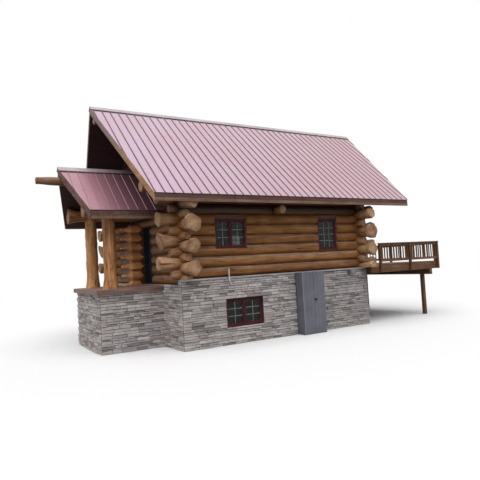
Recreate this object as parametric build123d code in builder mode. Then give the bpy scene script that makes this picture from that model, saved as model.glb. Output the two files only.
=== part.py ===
from build123d import *
import math
import os
from collections import namedtuple

os.makedirs("parts", exist_ok=True)

# Log cabin on a stone basement. X runs along the ridge, Y from front to back,
# Z up. The origin is the middle of the basement slab's underside.

# Gaps between pieces, and how far a cut runs past what it cuts
scribe_gap = 0.4
bell_gap = 1.5
seat_gap = 0.3
swing_gap = 5.5
leaf_meeting_gap = 7.5
butt_gap = 10
cut_margin = 1
cut_reach = 1000

# Log body
gable_spacing = 7700
wall_spacing = 6840
log_radius = 190
course_height = 350
wall_courses = 8
foundation_height = 2250
gable_sill_drop = 150
short_flyway = 450
long_flyway = 860
butt_length = 380
wall_butt_radii = (245, 240, 250, 300, 260, 255, 245, 250)
gable_butt_radii = (245, 255, 250, 245, 300, 305, 212, 250)
tip_length = 230
tip_radius = 122
end_bevel = 16
tie_log_x = -230
tie_log_height = 4480
tie_log_radius = 145
tie_log_reach = 640

# Basement
basement_wall_thickness = 300
basement_slab_thickness = 100
floor_thickness = 250

# Main roof
ridge_height = 8700
roof_pitch = 41.05
roof_half_width = 4353
eave_left = -5097
eave_right = 5920
ridge_left = -5739
ridge_right = 6980
metal_thickness = 6
rib_spacing = 304.8
rib_height = 19
rib_base = 46
rib_top = 18
metal_overhang = 14
eave_board_depth = 260
eave_board_thickness = 38
verge_board_thickness = 32
verge_board_drop = 30
cap_width = 170
cap_thickness = 4
ridge_log_radius = 170
ridge_log_inset = 130
plate_log_left = -5165
plate_log_right = 5530
infill_thickness = 160

# Windows
frame_depth = 120
frame_border = 55
frame_setback = 45
sash_border = 48
sash_setback = 30
sash_depth = 44
glass_thickness = 8
head_board_height = 145
head_board_depth = 34
left_window_x = -2115
left_window_width = 1230
left_window_sill = 3200
right_window_x = 2155
right_window_width = 930
right_window_sill = 3020
window_head = 4190
basement_window_x = -1730
basement_window_width = 1470
basement_window_sill = 570
basement_window_head = 1510

# Entry door and the wing wall's log ends beside it
door_y = -600
door_leaf_width = 860
door_leaf_height = 2040
door_leaf_thickness = 45
door_frame_board = 48
door_frame_depth = 200
door_sill_thickness = 20
knob_radius = 30
knob_neck_radius = 13.5
knob_reach = 62
knob_height = 960
knob_backset = 70
hinge_radius = 7
hinge_pin_radius = 4
hinge_pin_gap = 0.2
hinge_height = 100
hinge_end = 26
hinge_tab = 24
hinge_plate = 2.3
hinge_end_distance = 220
wing_y = 190
wing_radius = 165
wing_courses = 6
wing_reach = 890

# Porch
porch_y = -600
porch_floor_height = 2060
porch_floor_thickness = 140
porch_left = -6330
porch_half_width = 1640
porch_base_inset = 120
post_x = -5730
post_offset = 1150
post_top_radius = 212
post_base_radius = 262
post_flare_height = 620
post_seat = 165
porch_plate_height = 4720
porch_plate_radius = 200
porch_plate_left = -6550
porch_plate_flare = 262
porch_ridge_height = 6260
porch_roof_half_width = 1900
porch_eave_left = -6500
porch_ridge_left = -7060
porch_ridge_log_radius = 150
porch_ridge_log_left = -7780
porch_tie_radius = 150
king_post_radius = 105

# Closet built against the basement wall
closet_left = 455
closet_right = 1465
closet_front = -4020
closet_height = 2210
closet_board = 32
closet_leaf_thickness = 32
closet_knob_radius = 42
closet_knob_height = 1230
closet_knob_neck = 30
closet_knob_neck_radius = 21
closet_knob_depth = 26
closet_knob_inset = 8
closet_leaf_low = 12

# Deck on the right gable
deck_right = 8150
deck_half_width = 3900
deck_top = 2310
deck_board_thickness = 38
deck_rim_depth = 282
deck_rim_thickness = 40
deck_joist_count = 9
deck_post_size = 140
deck_post_inset = 480
deck_beam_depth = 240
rail_height = 870
rail_post_size = 90
rail_first_post = 4550
rail_board_width = 140
rail_board_thickness = 38
rail_bottom_gap = 110
baluster_size = 36
balusters_per_bay = 12
deck_door_y = 0
deck_door_recess = 60

# Sizes that follow from those
wall_y = wall_spacing / 2
gable_x = gable_spacing / 2
slope = math.radians(roof_pitch)
tan_slope = math.tan(slope)
cos_slope = math.cos(slope)
outer_x = gable_x + log_radius
outer_y = wall_y + log_radius
inner_x = outer_x - basement_wall_thickness
inner_y = outer_y - basement_wall_thickness
gable_sill = foundation_height - gable_sill_drop
first_wall_height = foundation_height + course_height / 2
plate_height = first_wall_height + course_height * wall_courses
top_gable_height = foundation_height + course_height * wall_courses
roof_under_apex = plate_height + wall_y * tan_slope + (log_radius + seat_gap) / cos_slope
metal_drop = metal_thickness / cos_slope
ridge_log_height = roof_under_apex - (ridge_log_radius + seat_gap) / cos_slope
door_opening_half = door_leaf_width / 2 + swing_gap + door_frame_board
door_head = gable_sill + door_sill_thickness + swing_gap + door_leaf_height + swing_gap
porch_under_apex = (
    porch_plate_height + post_offset * tan_slope + (porch_plate_radius + seat_gap) / cos_slope
)
porch_ridge_log_height = porch_under_apex - (porch_ridge_log_radius + seat_gap) / cos_slope
house_face = outer_x + seat_gap
over_roof = ridge_height + cut_reach
wall_trim = log_radius * 2

Log = namedtuple("Log", "direction start finish across height radius start_radius finish_radius")


# Planes and small shape helpers

def across_plane(direction, start, across, height):
    """Plane square to a log at its start, with local y up."""
    if direction == "x":
        return Plane(origin=(start, across, height), x_dir=(0, 1, 0), z_dir=(1, 0, 0))
    return Plane(origin=(across, start, height), x_dir=(-1, 0, 0), z_dir=(0, 1, 0))


def along_plane(direction, position, across, height, outward):
    """Upright plane through a log's axis, with local x pointing out of the log's end."""
    if direction == "x":
        return Plane(
            origin=(position, across, height), x_dir=(outward, 0, 0), z_dir=(0, -outward, 0)
        )
    return Plane(origin=(across, position, height), x_dir=(0, outward, 0), z_dir=(outward, 0, 0))


def cut_round(log, gap):
    """Takes the room of a straight log, with a gap all round, out of the part."""
    start = log.start - gap
    with BuildSketch(across_plane(log.direction, start, log.across, log.height)) as hollow:
        Circle(log.radius + gap)
    extrude(hollow.sketch, amount=log.finish + gap - start, mode=Mode.SUBTRACT)


def box_between(low, high, mode=Mode.ADD):
    """A box given by its lowest and highest corners."""
    size = [b - a for a, b in zip(low, high)]
    centre = tuple((a + b) / 2 for a, b in zip(low, high))
    with Locations(centre):
        Box(*size, mode=mode)


def cut_roof_room(axis_y, under_apex, low_x, high_x):
    """Takes the room of a roof, from a gap under its slopes upwards, out of the part."""
    apex = under_apex - seat_gap / cos_slope
    reach = wall_spacing
    plane = Plane(origin=(low_x, axis_y, 0), x_dir=(0, 1, 0), z_dir=(1, 0, 0))
    with BuildSketch(plane) as room:
        Polygon(
            (-reach, apex - reach * tan_slope),
            (0, apex),
            (reach, apex - reach * tan_slope),
            (reach, ridge_height),
            (-reach, ridge_height),
            align=None,
        )
    extrude(room.sketch, amount=high_x - low_x, mode=Mode.SUBTRACT)


def flared_end(log, position, outward, flare_radius, mode=Mode.ADD):
    """The bell of a log's butt, turned about the log's axis."""
    base = position - outward * butt_length
    plane = along_plane(log.direction, base, log.across, log.height, outward)
    with BuildSketch(plane) as bell:
        with BuildLine():
            Line((0, 0), (butt_length, 0))
            Line((butt_length, 0), (butt_length, flare_radius - end_bevel))
            Line(
                (butt_length, flare_radius - end_bevel),
                (butt_length - end_bevel, flare_radius),
            )
            TangentArc(
                (0, log.radius), (butt_length - end_bevel, flare_radius), tangent=(1, 0)
            )
            Line((0, log.radius), (0, 0))
        make_face()
    revolve(bell.sketch, axis=Axis(plane.origin, plane.x_dir), revolution_arc=360, mode=mode)


def hewn_tip(log, position, outward, end_radius):
    """The thin end of a log, hewn down from the log's full girth."""
    base = position - outward * tip_length
    plane = along_plane(log.direction, base, log.across, log.height, outward)
    with BuildSketch(plane) as outline:
        with BuildLine():
            Line((0, 0), (tip_length, 0))
            Line((tip_length, 0), (tip_length, end_radius))
            TangentArc((0, log.radius), (tip_length, end_radius), tangent=(1, 0))
            Line((0, log.radius), (0, 0))
        make_face()
    revolve(outline.sketch, axis=Axis(plane.origin, plane.x_dir), revolution_arc=360)


def is_tip(log, end_radius):
    """Whether a log's end, which is plain at radius 0, is thinner than the log."""
    return 0 < end_radius < log.radius


def cut_bells(log, gap):
    """Takes the room of a log's flared ends, with a gap all round, out of the part."""
    grown = log._replace(radius=log.radius + gap)
    if log.start_radius > log.radius:
        flared_end(grown, log.start - gap, -1, log.start_radius + gap, Mode.SUBTRACT)
    if log.finish_radius > log.radius:
        flared_end(grown, log.finish + gap, 1, log.finish_radius + gap, Mode.SUBTRACT)


def shape_log(log, beneath):
    """A round log, grooved over the log below it and notched over those it crosses."""
    start = log.start + (tip_length if is_tip(log, log.start_radius) else 0)
    finish = log.finish - (tip_length if is_tip(log, log.finish_radius) else 0)
    with BuildPart() as shaped:
        with BuildSketch(across_plane(log.direction, start, log.across, log.height)):
            Circle(log.radius)
        extrude(amount=finish - start)
        ends = ((log.start, -1, log.start_radius), (log.finish, 1, log.finish_radius))
        for position, outward, end_radius in ends:
            if is_tip(log, end_radius):
                hewn_tip(log, position, outward, end_radius)
            elif end_radius:
                flared_end(log, position, outward, end_radius)
        for lower in beneath:
            cut_round(lower, scribe_gap)
            if lower.direction == log.direction and lower.start > log.start:
                cut_bells(lower, bell_gap)
    return shaped.part


def save(part, name):
    """Labels a finished piece and writes its file."""
    part.label = name
    export_step(part, f"parts/{name}.step")


# Basement slab, the floor that the cabin stands on
with BuildPart() as basement_slab:
    box_between(
        (-inner_x + seat_gap, -inner_y + seat_gap, 0),
        (inner_x - seat_gap, inner_y - seat_gap, basement_slab_thickness),
    )
save(basement_slab.part, "basement_slab")

# Basement walls, stone faced. The front one has a double window.
with BuildPart() as basement_front_wall:
    box_between((-outer_x, -outer_y, 0), (outer_x, -inner_y, foundation_height))
    box_between(
        (
            basement_window_x - basement_window_width / 2 - seat_gap,
            -outer_y - cut_margin,
            basement_window_sill - seat_gap,
        ),
        (
            basement_window_x + basement_window_width / 2 + seat_gap,
            -inner_y + cut_margin,
            basement_window_head + seat_gap,
        ),
        mode=Mode.SUBTRACT,
    )
save(basement_front_wall.part, "basement_front_wall")

with BuildPart() as basement_back_wall:
    box_between((-outer_x, inner_y, 0), (outer_x, outer_y, foundation_height))
save(basement_back_wall.part, "basement_back_wall")

# The gable walls stand lower, because the gable logs start half a course down.
with BuildPart() as basement_left_wall:
    box_between(
        (-outer_x, -inner_y + seat_gap, 0), (-inner_x, inner_y - seat_gap, gable_sill)
    )
save(basement_left_wall.part, "basement_left_wall")

with BuildPart() as basement_right_wall:
    box_between((inner_x, -inner_y + seat_gap, 0), (outer_x, inner_y - seat_gap, gable_sill))
save(basement_right_wall.part, "basement_right_wall")

# Main floor, held between the basement walls
with BuildPart() as main_floor:
    box_between(
        (-inner_x + seat_gap, -inner_y + seat_gap, gable_sill - floor_thickness),
        (inner_x - seat_gap, inner_y - seat_gap, gable_sill),
    )
save(main_floor.part, "main_floor")


# The logs of the four walls, course by course. A log has a long, flared butt at one
# end and a short, thin tip at the other, and the next course lies the other way round.

def turned_log(direction, spacing, across, height, butt_radius, butt_first):
    """A log with its butt at its start, or at its finish."""
    butt = (spacing / 2 + long_flyway, butt_radius)
    tip = (spacing / 2 + short_flyway, tip_radius)
    (left, left_radius), (right, right_radius) = (butt, tip) if butt_first else (tip, butt)
    return Log(direction, -left, right, across, height, log_radius, left_radius, right_radius)


def wall_log(across, course):
    """One course of the front or back wall."""
    height = first_wall_height + course_height * course
    if course == wall_courses:
        return Log("x", plate_log_left, plate_log_right, across, height, log_radius, 0, 0)
    return turned_log("x", gable_spacing, across, height, wall_butt_radii[course], course % 2 == 1)


def gable_log(across, course):
    """One course of a gable wall, half a course below the wall log of the same number."""
    height = foundation_height + course_height * course
    if course == wall_courses:
        reach = wall_y + short_flyway
        return Log("y", -reach, reach, across, height, log_radius, tip_radius, tip_radius)
    butt_in_front = course % 2 == (1 if across < 0 else 0)
    return turned_log("y", wall_spacing, across, height, gable_butt_radii[course], butt_in_front)


def wing_log(course):
    """One course of the wing wall's ends, which cross the left gable wall."""
    height = first_wall_height + course_height * course
    return Log("x", -gable_x - wing_reach, -gable_x + log_radius, wing_y, height,
               wing_radius, 0, 0)


tie_log_run = Log("y", -wall_y - tie_log_reach, wall_y + tie_log_reach, tie_log_x,
                  tie_log_height, tie_log_radius, 0, 0)


def build_long_wall(across):
    """All the logs of the front or back wall, scribed together, as a list of solids."""
    logs = []
    for course in range(wall_courses + 1):
        beneath = [gable_log(-gable_x, course), gable_log(gable_x, course)]
        if course:
            beneath.append(wall_log(across, course - 1))
        logs.append(shape_log(wall_log(across, course), beneath))
    return logs


def build_gable_wall(across, crossings):
    """All the logs of a gable wall, scribed together, as a list of solids."""
    logs = []
    for course in range(wall_courses + 1):
        beneath = []
        if course:
            beneath.append(gable_log(across, course - 1))
            beneath.append(wall_log(-wall_y, course - 1))
            beneath.append(wall_log(wall_y, course - 1))
            beneath.extend(crossings(course - 1))
        logs.append(shape_log(gable_log(across, course), beneath))
    return logs


def no_crossing(course):
    """The right gable crosses no inner wall."""
    return []


def wing_crossing(course):
    """The wing log under a left gable log, as far up as the wing goes."""
    return [wing_log(course)] if course < wing_courses else []


def cut_window(across, centre, width, sill, head):
    """The hole for a window and its head board through a long wall."""
    box_between(
        (centre - width / 2 - seat_gap, across - wall_trim, sill - seat_gap),
        (centre + width / 2 + seat_gap, across + wall_trim, head + seat_gap),
        mode=Mode.SUBTRACT,
    )


def long_wall(across):
    """Front or back log wall with its two windows and the hole for the tie log."""
    logs = build_long_wall(across)
    with BuildPart() as wall:
        for log in logs:
            add(log)
        box_between(
            (
                -gable_x - long_flyway - cut_margin,
                across - wall_trim,
                foundation_height - log_radius,
            ),
            (gable_x + long_flyway + cut_margin, across + wall_trim, foundation_height),
            mode=Mode.SUBTRACT,
        )
        top = window_head + head_board_height
        cut_window(across, left_window_x, left_window_width, left_window_sill, top)
        cut_window(across, right_window_x, right_window_width, right_window_sill, top)
        cut_round(tie_log_run, scribe_gap)
    return wall.part


front_wall_logs = long_wall(-wall_y)
save(front_wall_logs, "front_wall_logs")
back_wall_logs = long_wall(wall_y)
save(back_wall_logs, "back_wall_logs")


def trim_gable_feet(across):
    """Flat seats of the gable's first log on the gable wall and on the long walls."""
    low = gable_sill - log_radius
    far = wall_y + long_flyway + cut_margin
    box_between(
        (across - wall_trim, -far, low),
        (across + wall_trim, far, gable_sill),
        mode=Mode.SUBTRACT,
    )
    for side in (-1, 1):
        ends = sorted((side * inner_y, side * far))
        box_between(
            (across - wall_trim, ends[0], low),
            (across + wall_trim, ends[1], foundation_height),
            mode=Mode.SUBTRACT,
        )


def gable_piece(logs, across, low_y, high_y, low_z, high_z, hole=None):
    """The part of a gable's logs within a range of Y and Z, less a doorway."""
    with BuildPart() as piece:
        for log in logs:
            add(log)
        trim_gable_feet(across)
        box_between(
            (across - wall_trim, low_y, low_z),
            (across + wall_trim, high_y, high_z),
            mode=Mode.INTERSECT,
        )
        if hole:
            box_between(*hole, mode=Mode.SUBTRACT)
        if high_z >= gable_top:
            cut_roof_room(0, roof_under_apex, across - wall_trim, across + wall_trim)
    return piece.part


left_logs = build_gable_wall(-gable_x, wing_crossing)
gable_reach = wall_y + long_flyway + cut_margin
gable_top = top_gable_height + log_radius + cut_margin
door_side_front = door_y - door_opening_half - seat_gap
door_side_back = door_y + door_opening_half + seat_gap
split_course = math.ceil((door_head + door_frame_board - foundation_height) / course_height)
lower_logs = left_logs[:split_course]
upper_logs = left_logs[split_course:]
left_gable_logs_front = gable_piece(
    lower_logs, -gable_x, -gable_reach, door_side_front, 0, gable_top
)
save(left_gable_logs_front, "left_gable_logs_front")
left_gable_logs_back = gable_piece(lower_logs, -gable_x, door_side_back, gable_reach, 0, gable_top)
save(left_gable_logs_back, "left_gable_logs_back")
over_door_hole = (
    (-gable_x - wall_trim, door_side_front, gable_sill),
    (-gable_x + wall_trim, door_side_back, door_head + door_frame_board + seat_gap),
)
left_gable_logs_over_door = gable_piece(
    upper_logs, -gable_x, -gable_reach, gable_reach, 0, gable_top, over_door_hole
)
save(left_gable_logs_over_door, "left_gable_logs_over_door")

right_logs = build_gable_wall(gable_x, no_crossing)
deck_door_sill = deck_top + door_sill_thickness
deck_door_head = deck_door_sill + door_leaf_height + door_frame_board
deck_hole = (
    (gable_x - wall_trim, deck_door_y - door_opening_half - seat_gap, deck_top - seat_gap),
    (
        gable_x + wall_trim,
        deck_door_y + door_opening_half + seat_gap,
        deck_door_head + seat_gap,
    ),
)
right_gable_logs = gable_piece(
    right_logs, gable_x, -gable_reach, gable_reach, 0, gable_top, deck_hole
)
save(right_gable_logs, "right_gable_logs")

# Wing wall ends, six logs and a half log that sits on the porch floor
wing_sill = Log("x", -gable_x - wing_reach, -outer_x - seat_gap, wing_y,
                first_wall_height - course_height, wing_radius, 0, 0)
wing_pieces = [shape_log(wing_sill, [])]
for course in range(wing_courses):
    beneath = [gable_log(-gable_x, course), wing_log(course - 1) if course else wing_sill]
    wing_pieces.append(shape_log(wing_log(course), beneath))
with BuildPart() as entry_wing_logs:
    for piece in wing_pieces:
        add(piece)
    box_between(
        (-gable_x - wing_reach - cut_margin, wing_y - wing_radius - cut_margin, 0),
        (0, wing_y + wing_radius + cut_margin, porch_floor_height + seat_gap),
        mode=Mode.SUBTRACT,
    )
save(entry_wing_logs.part, "entry_wing_logs")

# Tie log across the cabin, with its ends showing through both long walls
tie_log = shape_log(tie_log_run, [])
save(tie_log, "tie_log")

# Ridge log
ridge_log_run = Log("x", ridge_left + ridge_log_inset, ridge_right - ridge_log_inset, 0,
                    ridge_log_height, ridge_log_radius, 0, 0)
ridge_log = shape_log(ridge_log_run, [])
save(ridge_log, "ridge_log")


# Gable triangles above the top gable logs

def gable_infill(side):
    """Framed triangle between the top log and the roof, round the ridge log."""
    bottom = top_gable_height + log_radius + seat_gap
    peak = roof_under_apex - seat_gap / cos_slope
    face = side * outer_x
    plane = Plane(origin=(face, 0, 0), x_dir=(0, 1, 0), z_dir=(1, 0, 0))
    with BuildPart() as infill:
        with BuildSketch(plane) as outline:
            Polygon(
                (-wall_y, bottom),
                (wall_y, bottom),
                (wall_y, peak - wall_y * tan_slope),
                (0, peak),
                (-wall_y, peak - wall_y * tan_slope),
                align=None,
            )
        extrude(amount=-side * infill_thickness)
        cut_round(ridge_log_run, scribe_gap)
        box_between(
            (face - infill_thickness - cut_margin, -ridge_log_radius, ridge_log_height),
            (face + infill_thickness + cut_margin, ridge_log_radius, ridge_height),
            mode=Mode.SUBTRACT,
        )
        cut_round(wall_log(-wall_y, wall_courses), scribe_gap)
        cut_round(wall_log(wall_y, wall_courses), scribe_gap)
    return infill.part


left_gable_infill = gable_infill(-1)
save(left_gable_infill, "left_gable_infill")
right_gable_infill = gable_infill(1)
save(right_gable_infill, "right_gable_infill")


# Roof pieces. Each is a slope's cross-section run along X, trimmed in plan to the
# outline whose ridge is longer than its eave.

Roof = namedtuple("Roof", "axis_y ridge half_width under eave_a eave_b ridge_a ridge_b")
main_roof = Roof(0, ridge_height, roof_half_width, roof_under_apex,
                 eave_left, eave_right, ridge_left, ridge_right)
porch_roof = Roof(porch_y, porch_ridge_height, porch_roof_half_width, porch_under_apex,
                  porch_eave_left, -house_face, porch_ridge_left, -house_face)


def slope_run(roof, side, points):
    """Runs a cross-section of distances from the ridge and heights along X."""
    plane = Plane(origin=(0, roof.axis_y, 0), x_dir=(0, 1, 0), z_dir=(1, 0, 0))
    with BuildSketch(plane) as section:
        Polygon(*[(side * across, height) for across, height in points], align=None)
    reach = max(abs(roof.ridge_a), abs(roof.ridge_b)) + cut_reach
    extrude(section.sketch, amount=reach, both=True)


def trim_plan(roof, side, inset, overhang=0):
    """Keeps what lies over the roof's outline in plan, less an inset at its ends."""
    edge = roof.half_width + overhang
    end = inset if roof.ridge_b > 0 else 0
    with BuildSketch(Plane.XY) as plan:
        Polygon(
            (roof.ridge_a + inset, roof.axis_y),
            (roof.eave_a + inset, roof.axis_y + side * roof.half_width),
            (roof.eave_a + inset, roof.axis_y + side * edge),
            (roof.eave_b - end, roof.axis_y + side * edge),
            (roof.eave_b - end, roof.axis_y + side * roof.half_width),
            (roof.ridge_b - end, roof.axis_y),
            align=None,
        )
    extrude(plan.sketch, amount=over_roof, mode=Mode.INTERSECT)


def roof_panel(roof, side):
    """Boarded and insulated roof slab of one slope."""
    top = roof.ridge - metal_drop
    edge = roof.half_width - metal_overhang - eave_board_thickness - seat_gap
    with BuildPart() as panel:
        slope_run(roof, side, [
            (0, roof.under),
            (edge, roof.under - edge * tan_slope),
            (edge, top - edge * tan_slope),
            (0, top),
        ])
        trim_plan(roof, side, verge_board_thickness + seat_gap)
    return panel.part


def roof_sheet(roof, side):
    """Metal sheet of one slope with its standing ribs."""
    top = roof.ridge
    edge = roof.half_width
    run = edge / cos_slope
    normal = (0, side * math.sin(slope), math.cos(slope))
    down = (0, side * math.cos(slope), -math.sin(slope))
    ribs_from = math.floor((roof.ridge_a - roof.eave_a) / rib_spacing)
    ribs_to = math.ceil((roof.ridge_b - roof.eave_a) / rib_spacing)
    rib_count = ribs_to - ribs_from + 1
    with BuildPart() as sheet:
        slope_run(roof, side, [
            (0, top - metal_drop),
            (edge, top - metal_drop - edge * tan_slope),
            (edge, top - edge * tan_slope),
            (0, top),
        ])
        first = roof.eave_a + rib_spacing * ribs_from + rib_base
        plane = Plane(origin=(first, roof.axis_y, top), x_dir=(-side, 0, 0), z_dir=down)
        places = [(-side * rib_spacing * number, 0) for number in range(rib_count)]
        with BuildSketch(plane) as ribs:
            with Locations(*places):
                Polygon(
                    (-rib_base / 2, -metal_thickness / 2),
                    (rib_base / 2, -metal_thickness / 2),
                    (rib_base / 2, 0),
                    (rib_top / 2, rib_height),
                    (-rib_top / 2, rib_height),
                    (-rib_base / 2, 0),
                    align=None,
                )
        extrude(ribs.sketch, amount=run + rib_height)
        trim_plan(roof, side, 0)
        low_y, high_y = sorted((roof.axis_y + side * edge, roof.axis_y + side * edge * 2))
        box_between(
            (roof.ridge_a - cut_margin, low_y, 0),
            (roof.ridge_b + cut_margin, high_y, over_roof),
            mode=Mode.SUBTRACT,
        )
    return sheet.part


def ridge_cap_piece(roof):
    """Folded cap over the ribs along the ridge."""
    lift = rib_height / cos_slope + seat_gap
    thick = cap_thickness / cos_slope
    with BuildPart() as cap:
        for side in (-1, 1):
            slope_run(roof, side, [
                (0, roof.ridge + lift),
                (cap_width, roof.ridge + lift - cap_width * tan_slope),
                (cap_width, roof.ridge + lift + thick - cap_width * tan_slope),
                (0, roof.ridge + lift + thick),
            ])
        box_between(
            (roof.ridge_a, roof.axis_y - cap_width - cut_margin, 0),
            (roof.ridge_b, roof.axis_y + cap_width + cut_margin, over_roof),
            mode=Mode.INTERSECT,
        )
    return cap.part


def eave_board(roof, side):
    """Board along the eave, under the metal's edge."""
    near = roof.half_width - metal_overhang - eave_board_thickness
    far = roof.half_width - metal_overhang
    top = roof.ridge - metal_drop
    bottom = top - far * tan_slope - eave_board_depth
    with BuildPart() as board:
        slope_run(roof, side, [
            (near, bottom),
            (far, bottom),
            (far, top - far * tan_slope),
            (near, top - near * tan_slope),
        ])
        trim_plan(roof, side, verge_board_thickness + seat_gap)
    return board.part


def verge_board(roof, side, end):
    """Board up the sloping end of one slope, in the plane of the prow."""
    top = roof.ridge - metal_drop
    far = roof.half_width - metal_overhang
    with BuildPart() as board:
        slope_run(roof, side, [
            (0, roof.under - verge_board_drop),
            (far, roof.under - verge_board_drop - far * tan_slope),
            (far, top - far * tan_slope),
            (0, top),
        ])
        thick = verge_board_thickness
        ridge_end = roof.ridge_a if end < 0 else roof.ridge_b
        eave_end = roof.eave_a if end < 0 else roof.eave_b
        with BuildSketch(Plane.XY) as plan:
            Polygon(
                (ridge_end, roof.axis_y),
                (eave_end, roof.axis_y + side * roof.half_width),
                (eave_end - end * thick, roof.axis_y + side * roof.half_width),
                (ridge_end - end * thick, roof.axis_y),
                align=None,
            )
        extrude(plan.sketch, amount=over_roof, mode=Mode.INTERSECT)
    return board.part


front_roof_panel = roof_panel(main_roof, -1)
save(front_roof_panel, "front_roof_panel")
back_roof_panel = roof_panel(main_roof, 1)
save(back_roof_panel, "back_roof_panel")

front_sheet = roof_sheet(main_roof, -1)
save(front_sheet, "front_roof_metal")
back_sheet = roof_sheet(main_roof, 1)
save(back_sheet, "back_roof_metal")
save(ridge_cap_piece(main_roof), "ridge_cap")

eave_pieces = [eave_board(main_roof, side) for side in (-1, 1)]
with BuildPart() as eave_boards:
    for piece in eave_pieces:
        add(piece)
save(eave_boards.part, "eave_boards")

verge_pieces = [verge_board(main_roof, side, end) for side in (-1, 1) for end in (-1, 1)]
with BuildPart() as verge_boards:
    for piece in verge_pieces:
        add(piece)
save(verge_boards.part, "verge_boards")


# Windows

def window(centre, face, inward, width, sill, head, leaves, board):
    """A fixed frame with its sashes, and a head board in the room left for settling."""
    clear = (width - frame_border * (leaves + 1)) / leaves
    near = face + inward * frame_setback
    far = near + inward * frame_depth
    sash_near = near + inward * sash_setback
    sash_far = sash_near + inward * sash_depth
    with BuildPart() as frame:
        box_between(
            (centre - width / 2, min(near, far), sill),
            (centre + width / 2, max(near, far), head),
        )
        for leaf in range(leaves):
            left = centre - width / 2 + frame_border + leaf * (clear + frame_border)
            box_between(
                (left, min(near, far) - cut_margin, sill + frame_border),
                (left + clear, max(near, far) + cut_margin, head - frame_border),
                mode=Mode.SUBTRACT,
            )
            box_between(
                (left, min(sash_near, sash_far), sill + frame_border),
                (left + clear, max(sash_near, sash_far), head - frame_border),
            )
            box_between(
                (
                    left + sash_border,
                    min(near, far) - cut_margin,
                    sill + frame_border + sash_border,
                ),
                (
                    left + clear - sash_border,
                    max(near, far) + cut_margin,
                    head - frame_border - sash_border,
                ),
                mode=Mode.SUBTRACT,
            )
        if board:
            board_far = near + inward * head_board_depth
            box_between(
                (centre - width / 2, min(near, board_far), head),
                (centre + width / 2, max(near, board_far), head + head_board_height),
            )
    return frame.part


def window_glass(centre, face, inward, width, sill, head, leaves):
    """One pane in each sash."""
    clear = (width - frame_border * (leaves + 1)) / leaves
    middle = face + inward * (frame_setback + sash_setback + sash_depth / 2)
    edge = frame_border + sash_border + seat_gap
    with BuildPart() as glass:
        for leaf in range(leaves):
            left = centre - width / 2 + leaf * (clear + frame_border)
            box_between(
                (left + edge, middle - glass_thickness / 2, sill + edge),
                (
                    left + frame_border + clear - sash_border - seat_gap,
                    middle + glass_thickness / 2,
                    head - edge,
                ),
            )
    return glass.part


def wall_windows(face, inward, name):
    """The double and the single window of a long wall, frames and glass."""
    left = (left_window_x, face, inward, left_window_width, left_window_sill, window_head, 2)
    right = (
        right_window_x, face, inward, right_window_width, right_window_sill, window_head, 1
    )
    frames = [window(*left, True), window(*right, True)]
    panes = [window_glass(*left), window_glass(*right)]
    with BuildPart() as frame_group:
        for frame in frames:
            add(frame)
    save(frame_group.part, f"{name}_window_frames")
    with BuildPart() as glass_group:
        for pane in panes:
            add(pane)
    save(glass_group.part, f"{name}_window_glass")


wall_windows(-outer_y, 1, "front")
wall_windows(outer_y, -1, "back")
basement_window = (
    basement_window_x, -outer_y, 1, basement_window_width,
    basement_window_sill, basement_window_head, 2,
)
save(window(*basement_window, False), "basement_window_frame")
save(window_glass(*basement_window), "basement_window_glass")


# Butt hinges. Each one has a middle knuckle on the frame, and two end knuckles and
# the pin on the door leaf, which stands on the -Y side of the joint.

def knuckle(axis_x, axis_y, low, high, radius, mode=Mode.ADD):
    """An upright round piece on a hinge's axis."""
    with BuildSketch(Plane.XY.offset(low)) as ring:
        with Locations((axis_x, axis_y)):
            Circle(radius)
    extrude(ring.sketch, amount=high - low, mode=mode)


def hinge_tab_box(axis_x, axis_y, low, high, reach, side):
    """The plate of a hinge in the joint, from the knuckle to the wood."""
    far = axis_y + side * swing_gap / 2
    near = far - side * hinge_plate
    box_between(
        (min(axis_x, axis_x + reach), min(near, far), low),
        (max(axis_x, axis_x + reach), max(near, far), high),
    )


def frame_hinges(axis_x, axis_y, heights, reach):
    """The knuckles and plates that stay on the frame."""
    for middle in heights:
        low = middle - hinge_height / 2 + hinge_end + seat_gap
        high = middle + hinge_height / 2 - hinge_end - seat_gap
        knuckle(axis_x, axis_y, low, high, hinge_radius)
        hinge_tab_box(axis_x, axis_y, low, high, reach, 1)
        knuckle(axis_x, axis_y, low, high, hinge_pin_radius + hinge_pin_gap, Mode.SUBTRACT)


def leaf_hinges(axis_x, axis_y, heights, reach):
    """The knuckles, plates and pins that turn with the leaf."""
    for middle in heights:
        low = middle - hinge_height / 2
        high = middle + hinge_height / 2
        for bottom, top in ((low, low + hinge_end), (high - hinge_end, high)):
            knuckle(axis_x, axis_y, bottom, top, hinge_radius)
            hinge_tab_box(axis_x, axis_y, bottom, top, reach, -1)
        knuckle(axis_x, axis_y, low, high, hinge_pin_radius)


def hinge_heights(low, high):
    """Three hinges up a door."""
    return (low + hinge_end_distance, (low + high) / 2, high - hinge_end_distance)


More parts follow.
